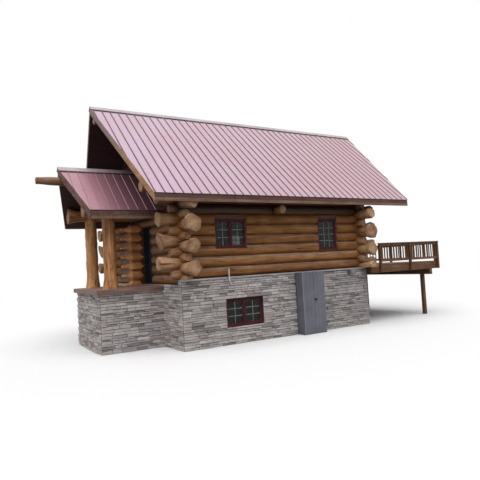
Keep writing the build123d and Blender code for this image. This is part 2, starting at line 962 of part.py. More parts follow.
# Entry door, hinged at its back edge and flush with the inside of its frame
door_face = -gable_x - door_frame_depth / 2
leaf_low = gable_sill + door_sill_thickness + swing_gap
leaf_high = leaf_low + door_leaf_height
leaf_front = door_face + door_frame_depth - door_leaf_thickness
entry_axis_x = door_face + door_frame_depth + hinge_radius
entry_axis_y = door_y + door_leaf_width / 2 + swing_gap / 2
entry_hinge_heights = hinge_heights(leaf_low, leaf_high)
with BuildPart() as entry_door_frame:
    box_between(
        (door_face, door_y - door_opening_half, gable_sill),
        (door_face + door_frame_depth, door_y + door_opening_half, door_head + door_frame_board),
    )
    box_between(
        (
            door_face - cut_margin,
            door_y - door_leaf_width / 2 - swing_gap,
            gable_sill + door_sill_thickness,
        ),
        (
            door_face + door_frame_depth + cut_margin,
            door_y + door_leaf_width / 2 + swing_gap,
            door_head,
        ),
        mode=Mode.SUBTRACT,
    )
    # The jambs stand on the sill board and carry the head board
    for joint in (gable_sill + door_sill_thickness, door_head - seat_gap):
        box_between(
            (door_face - cut_margin, door_y - door_opening_half - cut_margin, joint),
            (
                door_face + door_frame_depth + cut_margin,
                door_y + door_opening_half + cut_margin,
                joint + seat_gap,
            ),
            mode=Mode.SUBTRACT,
        )
    frame_hinges(entry_axis_x, entry_axis_y, entry_hinge_heights, -hinge_tab)
save(entry_door_frame.part, "entry_door_frame")

with BuildPart() as entry_door:
    box_between(
        (leaf_front, door_y - door_leaf_width / 2, leaf_low),
        (leaf_front + door_leaf_thickness, door_y + door_leaf_width / 2, leaf_high),
    )
    leaf_hinges(entry_axis_x, entry_axis_y, entry_hinge_heights, -hinge_tab)
save(entry_door.part, "entry_door")

knob_y = door_y - door_leaf_width / 2 + knob_backset
with BuildPart() as entry_door_knobs:
    for side in (-1, 1):
        face = leaf_front if side < 0 else leaf_front + door_leaf_thickness
        spot = Plane(
            origin=(face, knob_y, leaf_low + knob_height), x_dir=(0, side, 0), z_dir=(side, 0, 0)
        )
        with BuildSketch(spot):
            Circle(knob_neck_radius)
        extrude(amount=knob_reach)
        with BuildSketch(spot.offset(knob_reach - knob_radius)):
            Circle(knob_radius)
        extrude(amount=knob_radius)
save(entry_door_knobs.part, "entry_door_knobs")

# Door onto the deck, closed
deck_face = gable_x + door_frame_depth / 2
with BuildPart() as deck_door:
    box_between(
        (deck_face - door_frame_depth, deck_door_y - door_opening_half, deck_top),
        (deck_face, deck_door_y + door_opening_half, deck_door_head),
    )
    box_between(
        (
            deck_face - door_frame_depth - cut_margin,
            deck_door_y - door_leaf_width / 2,
            deck_door_sill,
        ),
        (
            deck_face + cut_margin,
            deck_door_y + door_leaf_width / 2,
            deck_door_head - door_frame_board,
        ),
        mode=Mode.SUBTRACT,
    )
    box_between(
        (
            deck_face - deck_door_recess - door_leaf_thickness,
            deck_door_y - door_leaf_width / 2,
            deck_door_sill,
        ),
        (
            deck_face - deck_door_recess,
            deck_door_y + door_leaf_width / 2,
            deck_door_head - door_frame_board,
        ),
    )
save(deck_door.part, "deck_door")

# Porch base and floor
with BuildPart() as porch_base:
    box_between(
        (porch_left + porch_base_inset, porch_y - porch_half_width + porch_base_inset, 0),
        (
            -house_face,
            porch_y + porch_half_width - porch_base_inset,
            porch_floor_height - porch_floor_thickness,
        ),
    )
save(porch_base.part, "porch_base")

with BuildPart() as porch_floor:
    box_between(
        (porch_left, porch_y - porch_half_width, porch_floor_height - porch_floor_thickness),
        (-house_face, porch_y + porch_half_width, porch_floor_height),
    )
save(porch_floor.part, "porch_floor")


# Porch logs

def porch_plate(side):
    """A plate log from the gable wall out over its post."""
    return Log("x", porch_plate_left, -gable_x, porch_y + side * post_offset,
               porch_plate_height, porch_plate_radius, porch_plate_flare, 0)


porch_plate_end = -gable_x - log_radius / 2
plate_pieces = []
for side in (-1, 1):
    wall_bits = [gable_log(-gable_x, course) for course in range(wall_courses + 1)]
    near = [
        log for log in wall_bits
        if abs(log.height - porch_plate_height) < log_radius + porch_plate_radius
    ]
    plate_pieces.append(shape_log(porch_plate(side), near))
with BuildPart() as porch_plate_logs:
    for piece in plate_pieces:
        add(piece)
    box_between(
        (porch_plate_end, porch_y - porch_roof_half_width, 0),
        (0, porch_y + porch_roof_half_width, ridge_height),
        mode=Mode.SUBTRACT,
    )
    cut_roof_room(porch_y, porch_under_apex, porch_ridge_left, 0)
save(porch_plate_logs.part, "porch_plate_logs")

with BuildPart() as porch_posts:
    for side in (-1, 1):
        spot = Plane(
            origin=(post_x, porch_y + side * post_offset, porch_floor_height),
            x_dir=(1, 0, 0),
            z_dir=(0, -1, 0),
        )
        post_height = porch_plate_height - post_seat - porch_floor_height
        with BuildSketch(spot) as half:
            with BuildLine():
                Line((0, 0), (post_base_radius, 0))
                TangentArc(
                    (post_top_radius, post_flare_height), (post_base_radius, 0), tangent=(0, -1)
                )
                Line((post_top_radius, post_flare_height), (post_top_radius, post_height))
                Line((post_top_radius, post_height), (0, post_height))
                Line((0, post_height), (0, 0))
            make_face()
        revolve(half.sketch, axis=Axis(spot.origin, (0, 0, 1)), revolution_arc=360)
        cut_round(porch_plate(side), scribe_gap)
save(porch_posts.part, "porch_posts")

porch_ridge_run = Log("x", porch_ridge_log_left, -outer_x - seat_gap, porch_y,
                      porch_ridge_log_height, porch_ridge_log_radius, 0, 0)
save(shape_log(porch_ridge_run, []), "porch_ridge_log")

porch_tie_run = Log("y", porch_y - post_offset, porch_y + post_offset, post_x,
                    porch_plate_height, porch_tie_radius, 0, 0)
porch_tie = shape_log(porch_tie_run, [porch_plate(-1), porch_plate(1)])
king_plane = Plane.XY.offset(porch_plate_height)
with BuildPart() as king_post:
    with BuildSketch(king_plane):
        with Locations((post_x, porch_y)):
            Circle(king_post_radius)
    extrude(amount=porch_ridge_log_height - porch_plate_height)
    cut_round(porch_ridge_run, scribe_gap)
    cut_round(porch_tie_run, scribe_gap)
with BuildPart() as porch_truss:
    add(porch_tie)
    add(king_post.part)
save(porch_truss.part, "porch_truss")

save(roof_panel(porch_roof, -1), "porch_front_roof_panel")
save(roof_panel(porch_roof, 1), "porch_back_roof_panel")
sheet_pieces = [roof_sheet(porch_roof, side) for side in (-1, 1)]
with BuildPart() as porch_roof_metal:
    for piece in sheet_pieces:
        add(piece)
save(porch_roof_metal.part, "porch_roof_metal")
save(ridge_cap_piece(porch_roof), "porch_ridge_cap")

trim_pieces = [eave_board(porch_roof, side) for side in (-1, 1)]
trim_pieces += [verge_board(porch_roof, side, -1) for side in (-1, 1)]
with BuildPart() as porch_trim_boards:
    for piece in trim_pieces:
        add(piece)
    cut_round(porch_ridge_run, scribe_gap)
save(porch_trim_boards.part, "porch_trim_boards")

# Closet against the basement wall
closet_back = -outer_y - seat_gap
leaf_back = closet_front + closet_leaf_thickness
case_front = leaf_back + swing_gap
closet_axis_y = leaf_back + swing_gap / 2
closet_hinge_heights = hinge_heights(closet_leaf_low, closet_height)
with BuildPart() as closet_sides:
    box_between(
        (closet_left, case_front, 0),
        (closet_left + closet_board, closet_back, closet_height - closet_board - seat_gap),
    )
    box_between(
        (closet_right - closet_board, case_front, 0),
        (closet_right, closet_back, closet_height - closet_board - seat_gap),
    )
    frame_hinges(closet_left - hinge_radius, closet_axis_y, closet_hinge_heights, hinge_tab)
    frame_hinges(closet_right + hinge_radius, closet_axis_y, closet_hinge_heights, -hinge_tab)
save(closet_sides.part, "closet_sides")
with BuildPart() as closet_top:
    box_between(
        (closet_left, case_front, closet_height - closet_board),
        (closet_right, closet_back, closet_height),
    )
save(closet_top.part, "closet_top")

closet_middle = (closet_left + closet_right) / 2
with BuildPart() as closet_door_left:
    box_between(
        (closet_left, closet_front, closet_leaf_low),
        (closet_middle - leaf_meeting_gap / 2, leaf_back, closet_height),
    )
    leaf_hinges(closet_left - hinge_radius, closet_axis_y, closet_hinge_heights, hinge_tab)
save(closet_door_left.part, "closet_door_left")
with BuildPart() as closet_door_right:
    box_between(
        (closet_middle + leaf_meeting_gap / 2, closet_front, closet_leaf_low),
        (closet_right, leaf_back, closet_height),
    )
    leaf_hinges(closet_right + hinge_radius, closet_axis_y, closet_hinge_heights, -hinge_tab)
save(closet_door_right.part, "closet_door_right")
closet_knob_x = closet_middle + leaf_meeting_gap / 2 + closet_knob_radius + closet_knob_inset
with BuildPart() as closet_knob:
    knob_plane = Plane(
        origin=(closet_knob_x, closet_front, closet_knob_height),
        x_dir=(1, 0, 0),
        z_dir=(0, -1, 0),
    )
    with BuildSketch(knob_plane):
        Circle(closet_knob_neck_radius)
    extrude(amount=closet_knob_neck)
    with BuildSketch(knob_plane.offset(closet_knob_neck)):
        Circle(closet_knob_radius)
    extrude(amount=closet_knob_depth)
save(closet_knob.part, "closet_knob")

# Deck on the right gable
frame_top = deck_top - deck_board_thickness
frame_bottom = frame_top - deck_rim_depth


def clear_log_butts():
    """Room in the deck for the butts of the first long-wall logs."""
    reach = wall_butt_radii[0] + butt_gap
    for side in (-1, 1):
        box_between(
            (outer_x, side * wall_y - reach, foundation_height - butt_gap),
            (gable_x + long_flyway + butt_gap, side * wall_y + reach, deck_top + cut_margin),
            mode=Mode.SUBTRACT,
        )


with BuildPart() as deck_floor:
    box_between(
        (house_face, -deck_half_width, frame_top),
        (deck_right, deck_half_width, deck_top),
    )
    clear_log_butts()
save(deck_floor.part, "deck_floor")

with BuildPart() as deck_frame:
    box_between(
        (house_face, -deck_half_width, frame_bottom),
        (deck_right, deck_half_width, frame_top),
    )
    bay = (2 * deck_half_width - deck_rim_thickness) / (deck_joist_count + 1)
    for joist in range(deck_joist_count + 1):
        low = -deck_half_width + deck_rim_thickness + joist * bay
        box_between(
            (house_face + deck_rim_thickness, low, frame_bottom - cut_margin),
            (
                deck_right - deck_rim_thickness,
                low + bay - deck_rim_thickness,
                frame_top + cut_margin,
            ),
            mode=Mode.SUBTRACT,
        )
    clear_log_butts()
save(deck_frame.part, "deck_frame")

beam_bottom = frame_bottom - deck_beam_depth
post_line = deck_right - deck_post_inset
with BuildPart() as deck_beam:
    box_between(
        (post_line - deck_post_size / 2, -deck_half_width, beam_bottom),
        (post_line + deck_post_size / 2, deck_half_width, frame_bottom),
    )
save(deck_beam.part, "deck_beam")
with BuildPart() as deck_posts:
    for place in (-1, 0, 1):
        centre = place * (deck_half_width - deck_post_inset)
        box_between(
            (post_line - deck_post_size / 2, centre - deck_post_size / 2, 0),
            (post_line + deck_post_size / 2, centre + deck_post_size / 2, beam_bottom),
        )
save(deck_posts.part, "deck_posts")


def rail_panel(places, top):
    """Posts on the rim's face with rails and balusters, running along local x."""
    start = places[0]
    finish = places[-1]
    half = rail_post_size / 2
    rail_low = deck_top + rail_bottom_gap
    with BuildPart() as panel:
        for place in places:
            box_between((place - half, 0, frame_bottom), (place + half, rail_post_size, top))
        box_between(
            (start - half, half - rail_board_width / 2, top),
            (finish + half, half + rail_board_width / 2, top + rail_board_thickness),
        )
        box_between(
            (start, half - rail_board_thickness / 2, top - rail_post_size),
            (finish, half + rail_board_thickness / 2, top),
        )
        box_between(
            (start, half - rail_board_thickness / 2, rail_low),
            (finish, half + rail_board_thickness / 2, rail_low + rail_post_size),
        )
        for left, right in zip(places, places[1:]):
            pitch = (right - left) / (balusters_per_bay + 1)
            for number in range(balusters_per_bay):
                centre = left + pitch * (number + 1)
                box_between(
                    (centre - baluster_size / 2, half - baluster_size / 2, rail_low),
                    (centre + baluster_size / 2, half + baluster_size / 2, top),
                )
    return panel.part


rail_top = deck_top + rail_height - rail_board_thickness
last_post = deck_right - rail_post_size / 2
side_places = [rail_first_post, (rail_first_post + last_post) / 2, last_post]
end_reach = deck_half_width - rail_board_width
end_places = [-end_reach, -end_reach / 3, end_reach / 3, end_reach]
side_rail = rail_panel(side_places, rail_top)
end_rail = rail_panel(end_places, rail_top)
front_rail = Pos(0, -deck_half_width - rail_post_size - seat_gap, 0) * side_rail
save(front_rail, "deck_front_rail")
back_rail = Pos(0, deck_half_width + seat_gap, 0) * side_rail
save(back_rail, "deck_back_rail")
turned = Rot(0, 0, -90) * end_rail
save(Pos(deck_right + seat_gap, 0, 0) * turned, "deck_end_rail")
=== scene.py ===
import bmesh
import bpy
import math
import numpy as np
from collections import namedtuple
from mathutils import Matrix, Vector
from random import Random


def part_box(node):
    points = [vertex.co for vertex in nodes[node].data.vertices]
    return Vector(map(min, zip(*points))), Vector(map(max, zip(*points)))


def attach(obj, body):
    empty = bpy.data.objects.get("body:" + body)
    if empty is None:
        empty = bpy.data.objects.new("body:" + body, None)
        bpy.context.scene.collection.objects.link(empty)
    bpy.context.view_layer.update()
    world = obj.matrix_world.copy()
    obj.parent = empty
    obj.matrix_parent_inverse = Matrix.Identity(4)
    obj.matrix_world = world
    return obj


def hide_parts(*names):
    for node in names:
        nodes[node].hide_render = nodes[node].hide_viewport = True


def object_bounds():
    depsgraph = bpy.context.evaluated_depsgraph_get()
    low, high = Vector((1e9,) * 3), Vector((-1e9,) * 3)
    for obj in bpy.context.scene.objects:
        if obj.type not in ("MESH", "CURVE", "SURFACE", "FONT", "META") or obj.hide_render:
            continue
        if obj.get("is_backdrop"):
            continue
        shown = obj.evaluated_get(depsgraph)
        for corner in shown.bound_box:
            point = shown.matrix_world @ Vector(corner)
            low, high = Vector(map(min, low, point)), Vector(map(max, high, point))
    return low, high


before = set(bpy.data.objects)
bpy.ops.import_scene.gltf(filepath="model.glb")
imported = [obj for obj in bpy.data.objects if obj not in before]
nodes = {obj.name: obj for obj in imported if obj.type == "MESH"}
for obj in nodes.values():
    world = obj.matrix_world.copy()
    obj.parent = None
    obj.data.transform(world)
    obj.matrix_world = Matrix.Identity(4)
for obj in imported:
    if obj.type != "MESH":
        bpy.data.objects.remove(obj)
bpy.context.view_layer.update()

# Basement slab
# A cast concrete slab, floated smooth. Its finish is the first one, so the ways to
# lay a finish stand here. Each ends in one shader and reads the object's own place.


def feed(made, inputs):
    """Gives a shader node its values, and links those that come out of other nodes."""
    for key, value in inputs.items():
        if isinstance(value, bpy.types.NodeSocket):
            value.id_data.links.new(value, made.inputs[key])
        else:
            made.inputs[key].default_value = value


def lay(kind, inputs, tree=None, **settings):
    """Lays a node in a tree, or beside the nodes that feed it, and returns its outputs."""
    if not tree:
        tree = next(v.id_data for v in inputs.values() if isinstance(v, bpy.types.NodeSocket))
    made = tree.nodes.new("ShaderNode" + kind)
    for key, value in settings.items():
        setattr(made, key, value)
    feed(made, inputs)
    return made.outputs


def step(operation, first, second=0.0, clamp=False):
    return lay("Math", {0: first, 1: second}, operation=operation, use_clamp=clamp)[0]


def times(first, second):
    return step("MULTIPLY", first, second)


def noise(place, scale, detail, **more):
    return lay("TexNoise", {"Vector": place, "Scale": scale, "Detail": detail, **more})[0]


def spread(value, low, high, to_low=0.0, to_high=1.0):
    inputs = {"Value": value, "From Min": low, "From Max": high, "To Min": to_low, "To Max": to_high}
    return lay("MapRange", inputs, clamp=True)[0]


def ramp(value, *stops):
    """Colours that run from stop to stop as the value rises."""
    colour = lay("ValToRGB", {"Fac": value})[0]
    band = colour.node.color_ramp
    while len(band.elements) < len(stops):
        band.elements.new(0.5)
    for element, (at, shade) in zip(band.elements, stops):
        element.position = at
        element.color = (*shade, 1)
    return colour


def bump(height, distance):
    return lay("Bump", {"Height": height, "Distance": distance})[0]


def new_finish(name):
    material = bpy.data.materials.new(name)
    material.use_nodes = True
    place = lay("TexCoord", {}, material.node_tree)["Object"]
    return material, material.node_tree.nodes["Principled BSDF"], place


def new_group(name, inputs, outputs):
    group = bpy.data.node_groups.new(name, "ShaderNodeTree")
    for label, kind in inputs.items():
        group.interface.new_socket(name=label, in_out="INPUT", socket_type="NodeSocket" + kind)
    for label in outputs:
        group.interface.new_socket(name=label, in_out="OUTPUT", socket_type="NodeSocketFloat")
    return group, group.nodes.new("NodeGroupInput").outputs, group.nodes.new("NodeGroupOutput")


# The weather group gives broad patches and fine specks, as rain and hands leave them
weather, taken, given = new_group("weather", {"Place": "Vector", "Size": "Float"}, ("Patches", "Specks"))
per_metre = step("DIVIDE", 1.0, taken["Size"])
patches = noise(taken["Place"], per_metre, 5.0, Roughness=0.62)
specks = noise(taken["Place"], times(per_metre, 22.0), 3.0)
feed(given, {"Patches": spread(patches, 0.34, 0.66), "Specks": spread(specks, 0.3, 0.7)})


def weather_at(place, size):
    return lay("Group", {"Place": place, "Size": size}, node_tree=weather)


def plain_finish(name, size, dark, light, smooth, rough, others=None, grit=0):
    """One colour with broad patches from dark to light, and an uneven sheen."""
    material, shader, place = new_finish(name)
    worn = weather_at(place, size)
    feed(shader, {"Base Color": ramp(worn["Patches"], (0, dark), (1, light)),
                  "Roughness": spread(worn["Specks"], 0, 1, smooth, rough), **(others or {})})
    if grit:
        feed(shader, {"Normal": bump(worn["Specks"], grit)})
    return material


def finish_nodes(material, *names):
    """Gives nodes of the CAD model that are shown as they are their finish."""
    for name in names:
        nodes[name].data.materials.clear()
        nodes[name].data.materials.append(material)


concrete = plain_finish("concrete", 0.8, (0.30, 0.29, 0.27), (0.47, 0.45, 0.42), 0.8, 0.95, grit=0.002)
finish_nodes(concrete, "basement_slab")

# Stone facing
# The block walls are faced with dry-laid strips of split stone, 60 to 110 mm tall, in
# level courses with broken joints. Each strip stands out by a different depth.

wall_left, wall_front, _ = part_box("basement_front_wall")[0]
wall_right, _, wall_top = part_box("basement_front_wall")[1]
wall_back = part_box("basement_back_wall")[1].y
wall_length = wall_right - wall_left
wall_depth = wall_back - wall_front
gable_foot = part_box("basement_left_wall")[1].z
corner_width = 0.225
stone_depth = 0.062
stone_sunk = 0.012
stone_joint = 0.013
stone_height = 0.082
stone_patterns = 6


def mix(share, under, over):
    over = (*over, 1) if isinstance(over, tuple) else over
    return lay("Mix", {0: share, 6: under, 7: over}, data_type="RGBA")[2]


def tone_at(place):
    """The tone that each stone, board or log was given when it was laid."""
    return lay("Attribute", {}, place.id_data, attribute_name="tone")["Fac"]


ledger_stone, shader, place = new_finish("ledger_stone")
worn = weather_at(place, 0.22)
face_colour = ramp(tone_at(place), (0.0, (0.26, 0.225, 0.23)), (0.25, (0.62, 0.56, 0.56)),
                   (0.5, (0.87, 0.81, 0.81)), (0.75, (0.66, 0.54, 0.49)), (1.0, (0.97, 0.94, 0.93)))
# Painted shade: the stone darkens towards the deck end
deck_end_shade = spread(lay("SeparateXYZ", {0: place})[0], -2.0, 4.0, 0.0, 0.36)
face_colour = mix(deck_end_shade, face_colour, (0.20, 0.18, 0.19))
face_colour = mix(times(worn["Patches"], 0.35), face_colour, (0.20, 0.175, 0.18))
face_colour = mix(times(worn["Specks"], 0.35), face_colour, (0.62, 0.58, 0.59))
feed(shader, {"Base Color": face_colour, "Roughness": spread(worn["Specks"], 0, 1, 0.75, 0.95),
              "Normal": bump(noise(place, 30.0, 6.0, Roughness=0.68), 0.035)})
joint_shadow = plain_finish("stone_joints", 0.5, (0.028, 0.025, 0.026), (0.06, 0.054, 0.055), 0.9, 0.97)
finish_nodes(joint_shadow, "basement_front_wall", "basement_back_wall", "basement_left_wall",
             "basement_right_wall", "porch_base")


def start_alone():
    bpy.ops.object.select_all(action="DESELECT")


def make_active(piece):
    start_alone()
    piece.select_set(True)
    bpy.context.view_layer.objects.active = piece


def open_mesh(piece):
    make_active(piece)
    bpy.ops.object.mode_set(mode="EDIT")


def close_mesh():
    bpy.ops.object.mode_set(mode="OBJECT")


def choose_faces(piece, wanted):
    """Selects the faces in edit mode whose centre and normal pass the test."""
    bpy.ops.mesh.select_mode(type="FACE")
    bpy.ops.mesh.select_all(action="DESELECT")
    work = bmesh.from_edit_mesh(piece.data)
    for face in work.faces:
        face.select = bool(wanted(face.calc_center_median(), face.normal))
    work.select_flush_mode()
    bmesh.update_edit_mesh(piece.data)


def join_pieces(pieces):
    make_active(pieces[0])
    for piece in pieces:
        piece.select_set(True)
    if len(pieces) > 1:
        bpy.ops.object.join()
    return bpy.context.view_layer.objects.active


def fix_piece(piece, name, material=None, stands_for=(), body="cabin"):
    """Names and finishes a piece, or several joined into one, and fixes it to a body."""
    piece = join_pieces(piece) if isinstance(piece, list) else piece
    piece.name = name
    piece.data.name = name
    if material:
        piece.data.materials.clear()
        piece.data.materials.append(material)
    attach(piece, body)
    if stands_for:
        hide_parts(*stands_for)


def place_in_scene(name, data):
    made = bpy.data.objects.new(name, data)
    bpy.context.scene.collection.objects.link(made)
    return made


def fix_copies(name, material, patterns, places):
    """One mesh of many copies. A place is a pattern's number, a matrix and a tone."""
    corners, faces, tones = [], [], []
    shapes = [(np.array([v.co for v in pattern.data.vertices]),
               [list(p.vertices) for p in pattern.data.polygons]) for pattern in patterns]
    for number, matrix, tone in places:
        points, shape = shapes[number]
        turn = np.array(matrix)
        corners.append(points @ turn[:3, :3].T + turn[:3, 3])
        faces += [[len(tones) + i for i in face] for face in shape]
        tones += [tone] * len(points)
    mesh = bpy.data.meshes.new(name)
    mesh.from_pydata(np.concatenate(corners).tolist(), [], faces)
    mesh.attributes.new("tone", "FLOAT", "POINT").data.foreach_set("value", tones)
    made = place_in_scene(name, mesh)
    for pattern in patterns:
        bpy.data.objects.remove(pattern)
    fix_piece(made, name, material)


def split_stone(number):
    """A unit stone: a block whose face, towards -Y, is broken rough."""
    start_alone()
    bpy.ops.mesh.primitive_cube_add(size=1)
    stone = bpy.context.object
    open_mesh(stone)
    choose_faces(stone, lambda centre, normal: normal.y < -0.5)
    bpy.ops.mesh.inset(thickness=0.075, depth=0.16)
    choose_faces(stone, lambda centre, normal: normal.y < -0.9)
    bpy.ops.mesh.subdivide(number_cuts=2, fractal=0.34, fractal_along_normal=0.95, seed=number)
    choose_faces(stone, lambda centre, normal: normal.y > 0.9)
    bpy.ops.mesh.delete(type="FACE")
    close_mesh()
    return stone


def course_lines(levels, random):
    """Heights of the course joints, which meet each sill and head."""
    lines = [levels[0]]
    for low, high in zip(levels, levels[1:]):
        heights = [random.uniform(0.65, 1.4) for _ in range(max(1, round((high - low) / stone_height)))]
        for height in heights:
            lines.append(lines[-1] + (high - low) * height / sum(heights))
    return lines


def face_wall(face, length, height, holes, seed):
    """Places of the stones on one wall. Face maps along, out and up to the wall."""
    random = Random(seed)
    lines = course_lines(sorted({0.0, height, *[z for hole in holes for z in hole[2:]]}), random)
    places = []
    for low, high in zip(lines, lines[1:]):
        middle = (low + high) / 2
        gaps = sorted((a, b) for a, b, c, d in holes if c < middle < d)
        ends = [0.0] + [edge for gap in gaps for edge in gap] + [length]
        for start, right in zip(ends[::2], ends[1::2]):
            while start < right - 0.001:
                run = random.uniform(0.18, 0.52)
                stop = right if right - start - run < 0.16 else start + run
                depth = stone_depth * random.uniform(0.3, 1.0)
                size = Matrix.Diagonal((stop - start - stone_joint, depth, high - low - stone_joint, 1))
                spot = Matrix.Translation(((start + stop) / 2, stone_sunk - depth / 2, middle))
                lean = Matrix.Rotation(math.radians(random.uniform(-1.1, 1.1)), 4, "Y")
                places.append((random.randrange(stone_patterns), face @ spot @ lean @ size,
                               random.random()))
                start = stop
    return places


def face_from(x, y, quarter_turns):
    """The face of a wall that starts at a corner and runs on to the right, seen from outside."""
    return Matrix.Translation((x, y, 0)) @ Matrix.Rotation(quarter_turns * math.pi / 2, 4, "Z")


window_low, window_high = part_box("basement_window_frame")
closet_low, closet_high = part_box("closet_sides")
base_low, base_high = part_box("porch_base")
base_length = base_high.x - base_low.x
front_holes = [(window_low.x - wall_left, window_high.x - wall_left, window_low.z, window_high.z),
               (closet_low.x - wall_left - 0.005, closet_high.x - wall_left + 0.005, 0,
                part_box("closet_top")[1].z + 0.02)]
left_holes = [(wall_back - base_high.y - 0.01, wall_back - base_low.y + 0.01, 0, base_high.z),
              (corner_width, wall_depth - corner_width, gable_foot, wall_top)]
right_holes = [(0, wall_depth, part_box("deck_frame")[0].z, gable_foot)]
for name, walls in {
    "front_stone_facing": [(face_from(wall_left, wall_front, 0), wall_length, wall_top, front_holes, 11)],
    "back_stone_facing": [(face_from(wall_right, wall_back, 2), wall_length, wall_top, [], 12)],
    "left_stone_facing": [(face_from(wall_left, wall_back, -1), wall_depth, wall_top, left_holes, 13)],
    "right_stone_facing": [(face_from(wall_right, wall_front, 1), wall_depth, gable_foot, right_holes, 14)],
    "porch_stone_facing": [
        (face_from(base_low.x, base_low.y, 0), base_length, base_high.z, [], 15),
        (face_from(base_low.x, base_high.y, -1), base_high.y - base_low.y, base_high.z, [], 16),
        (face_from(base_high.x, base_high.y, 2), base_length, base_high.z, [], 17),
    ],
}.items():
    patterns = [split_stone(number) for number in range(stone_patterns)]
    fix_copies(name, ledger_stone, patterns,
               [place for wall in walls for place in face_wall(*wall)])

# Sill flashing
# A folded metal strip on top of the stone, which throws rain clear of the wall.
# It is pale grey and lies between the first log and the stone.


def set_place():
    bpy.ops.object.transform_apply(location=True, rotation=True, scale=True)


def apply_modifier(piece, kind, **settings):
    make_active(piece)
    modifier = piece.modifiers.new(kind.lower(), kind)
    for key, value in settings.items():
        setattr(modifier, key, value)
    bpy.ops.object.modifier_apply(modifier=modifier.name)


def block(one, other, edge=0.003, segments=1):
    """A sawn block between two opposite corners, with its arrises taken off."""
    low, high = (Vector([pick(pair) for pair in zip(one, other)]) for pick in (min, max))
    start_alone()
    bpy.ops.mesh.primitive_cube_add(size=1, location=(high + low) / 2, scale=high - low)
    piece = bpy.context.object
    set_place()
    if edge:
        apply_modifier(piece, "BEVEL", width=min(edge, min(high - low) / 3), segments=segments,
                       limit_method="NONE")
    return piece


def shift_faces(piece, wanted, way):
    """Moves the faces that pass the test."""
    open_mesh(piece)
    choose_faces(piece, wanted)
    bpy.ops.transform.translate(value=way)
    close_mesh()
    return piece


flashing_metal = plain_finish("flashing_metal", 0.5, (0.33, 0.31, 0.34), (0.50, 0.48, 0.52), 0.35, 0.55,
                              {"Metallic": 0.6})
flashing_reach = 0.06
flashing_height = 0.03
flashing_fall = 0.014
strips = []
for face_y, outward in ((wall_front, -1), (wall_back, 1)):
    strip = block((wall_left - 0.03, face_y - outward * 0.02, wall_top - flashing_height + 0.004),
                  (wall_right + 0.03, face_y + outward * flashing_reach, wall_top + 0.004), 0)
    strips.append(shift_faces(strip, lambda c, n: n.y * outward > 0.9, (0, 0, -flashing_fall)))
fix_piece(strips, "sill_flashing", flashing_metal)

# Vent hood and flue
# A small louvred hood of grey plastic under the right window, and a white plastic
# pipe that comes out of the stone further left and turns up in front of the logs.

vent_x, vent_z, vent_half, vent_depth = 3.09, 2.08, 0.08, 0.085
louvre_half, louvre_height, louvre_spacing = 0.06, 0.012, 0.035
grey_plastic = plain_finish("grey_plastic", 0.1, (0.085, 0.085, 0.09), (0.14, 0.14, 0.15), 0.45, 0.6)
parts = [block((vent_x - vent_half, wall_front - vent_depth, vent_z - vent_half),
               (vent_x + vent_half, wall_front, vent_z + vent_half), 0.006, 2)]
for number in range(4):
    foot = vent_z - vent_half + 0.025 + number * louvre_spacing
    parts.append(block((vent_x - louvre_half, wall_front - vent_depth - 0.015, foot),
                       (vent_x + louvre_half, wall_front - vent_depth + 0.005, foot + louvre_height), 0.002))
fix_piece(parts, "vent_hood", grey_plastic)

flue_route = ((-2.27, -3.60, 2.02), (-2.27, -3.75, 2.02), (-2.33, -3.76, 2.03), (-2.36, -3.76, 2.10),
              (-2.37, -3.76, 2.30), (-2.37, -3.76, 2.52))
white_plastic = plain_finish("white_plastic", 0.2, (0.62, 0.62, 0.60), (0.80, 0.80, 0.79), 0.3, 0.45)
start_alone()
bpy.ops.curve.primitive_nurbs_path_add()
flue = bpy.context.object
line = flue.data.splines[0]
line.points.add(len(flue_route) - len(line.points))
for point, spot in zip(line.points, flue_route):
    point.co = (*spot, 1)
line.order_u = 3
line.use_endpoint_u = True
flue.data.bevel_depth = 0.021
flue.data.use_fill_caps = True
flue.data.bevel_resolution = 4
bpy.ops.object.convert(target="MESH")
fix_piece(flue, "flue_pipe", white_plastic)

# Main floor
# Varnished boards 130 mm wide on joists, seen through the door and the windows. The
# timber group, first used here, gives streaks, fine fibres, open checks and knots.

timber, taken, given = new_group("timber", {"Place": "Vector", "Stretch": "Vector", "Knot size": "Float"},
                                 ("Streaks", "Fibres", "Checks", "Knots"))
drawn = lay("VectorMath", {0: taken["Place"], 1: taken["Stretch"]}, operation="MULTIPLY")[0]
off_line = step("ABSOLUTE", step("SUBTRACT", noise(drawn, 9.0, 1.5, Distortion=0.2), 0.5))
crack = times(spread(off_line, 0.0, 0.011, 1.0, 0.0), spread(noise(taken["Place"], 1.7, 1.0), 0.47, 0.6))
softened = lay("VectorMath", {0: drawn, 1: taken["Place"]}, operation="ADD")[0]
cells = lay("TexVoronoi", {"Vector": softened, "Scale": 2.3, "Randomness": 1.0})["Distance"]
feed(given, {"Streaks": spread(noise(drawn, 15.0, 5.0, Distortion=0.4), 0.3, 0.7),
             "Fibres": noise(drawn, 120.0, 2.0), "Checks": crack,
             "Knots": spread(cells, taken["Knot size"], 0.0)})
along = {"x": (0.07, 1.0, 1.0), "y": (1.0, 0.07, 1.0), "z": (1.0, 1.0, 0.07)}
board_thickness = 0.02
side_gap = 0.006
end_gap = 0.003


def shares(*pairs):
    """Adds values, each times its share, and keeps the sum between 0 and 1."""
    total = 0.0
    for value, share in pairs:
        total = step("ADD", times(value, share), total, clamp=True)
    return total


def grain_at(place, direction, knot_size, weather_size, streaks, patches, tones):
    """The grain along one way, and how light it is by streak, weather and piece."""
    grain = lay("Group", {"Place": place, "Stretch": along[direction], "Knot size": knot_size},
                node_tree=timber)
    worn = weather_at(place, weather_size)["Patches"]
    return grain, shares((grain["Streaks"], streaks), (worn, patches), (tone_at(place), tones))


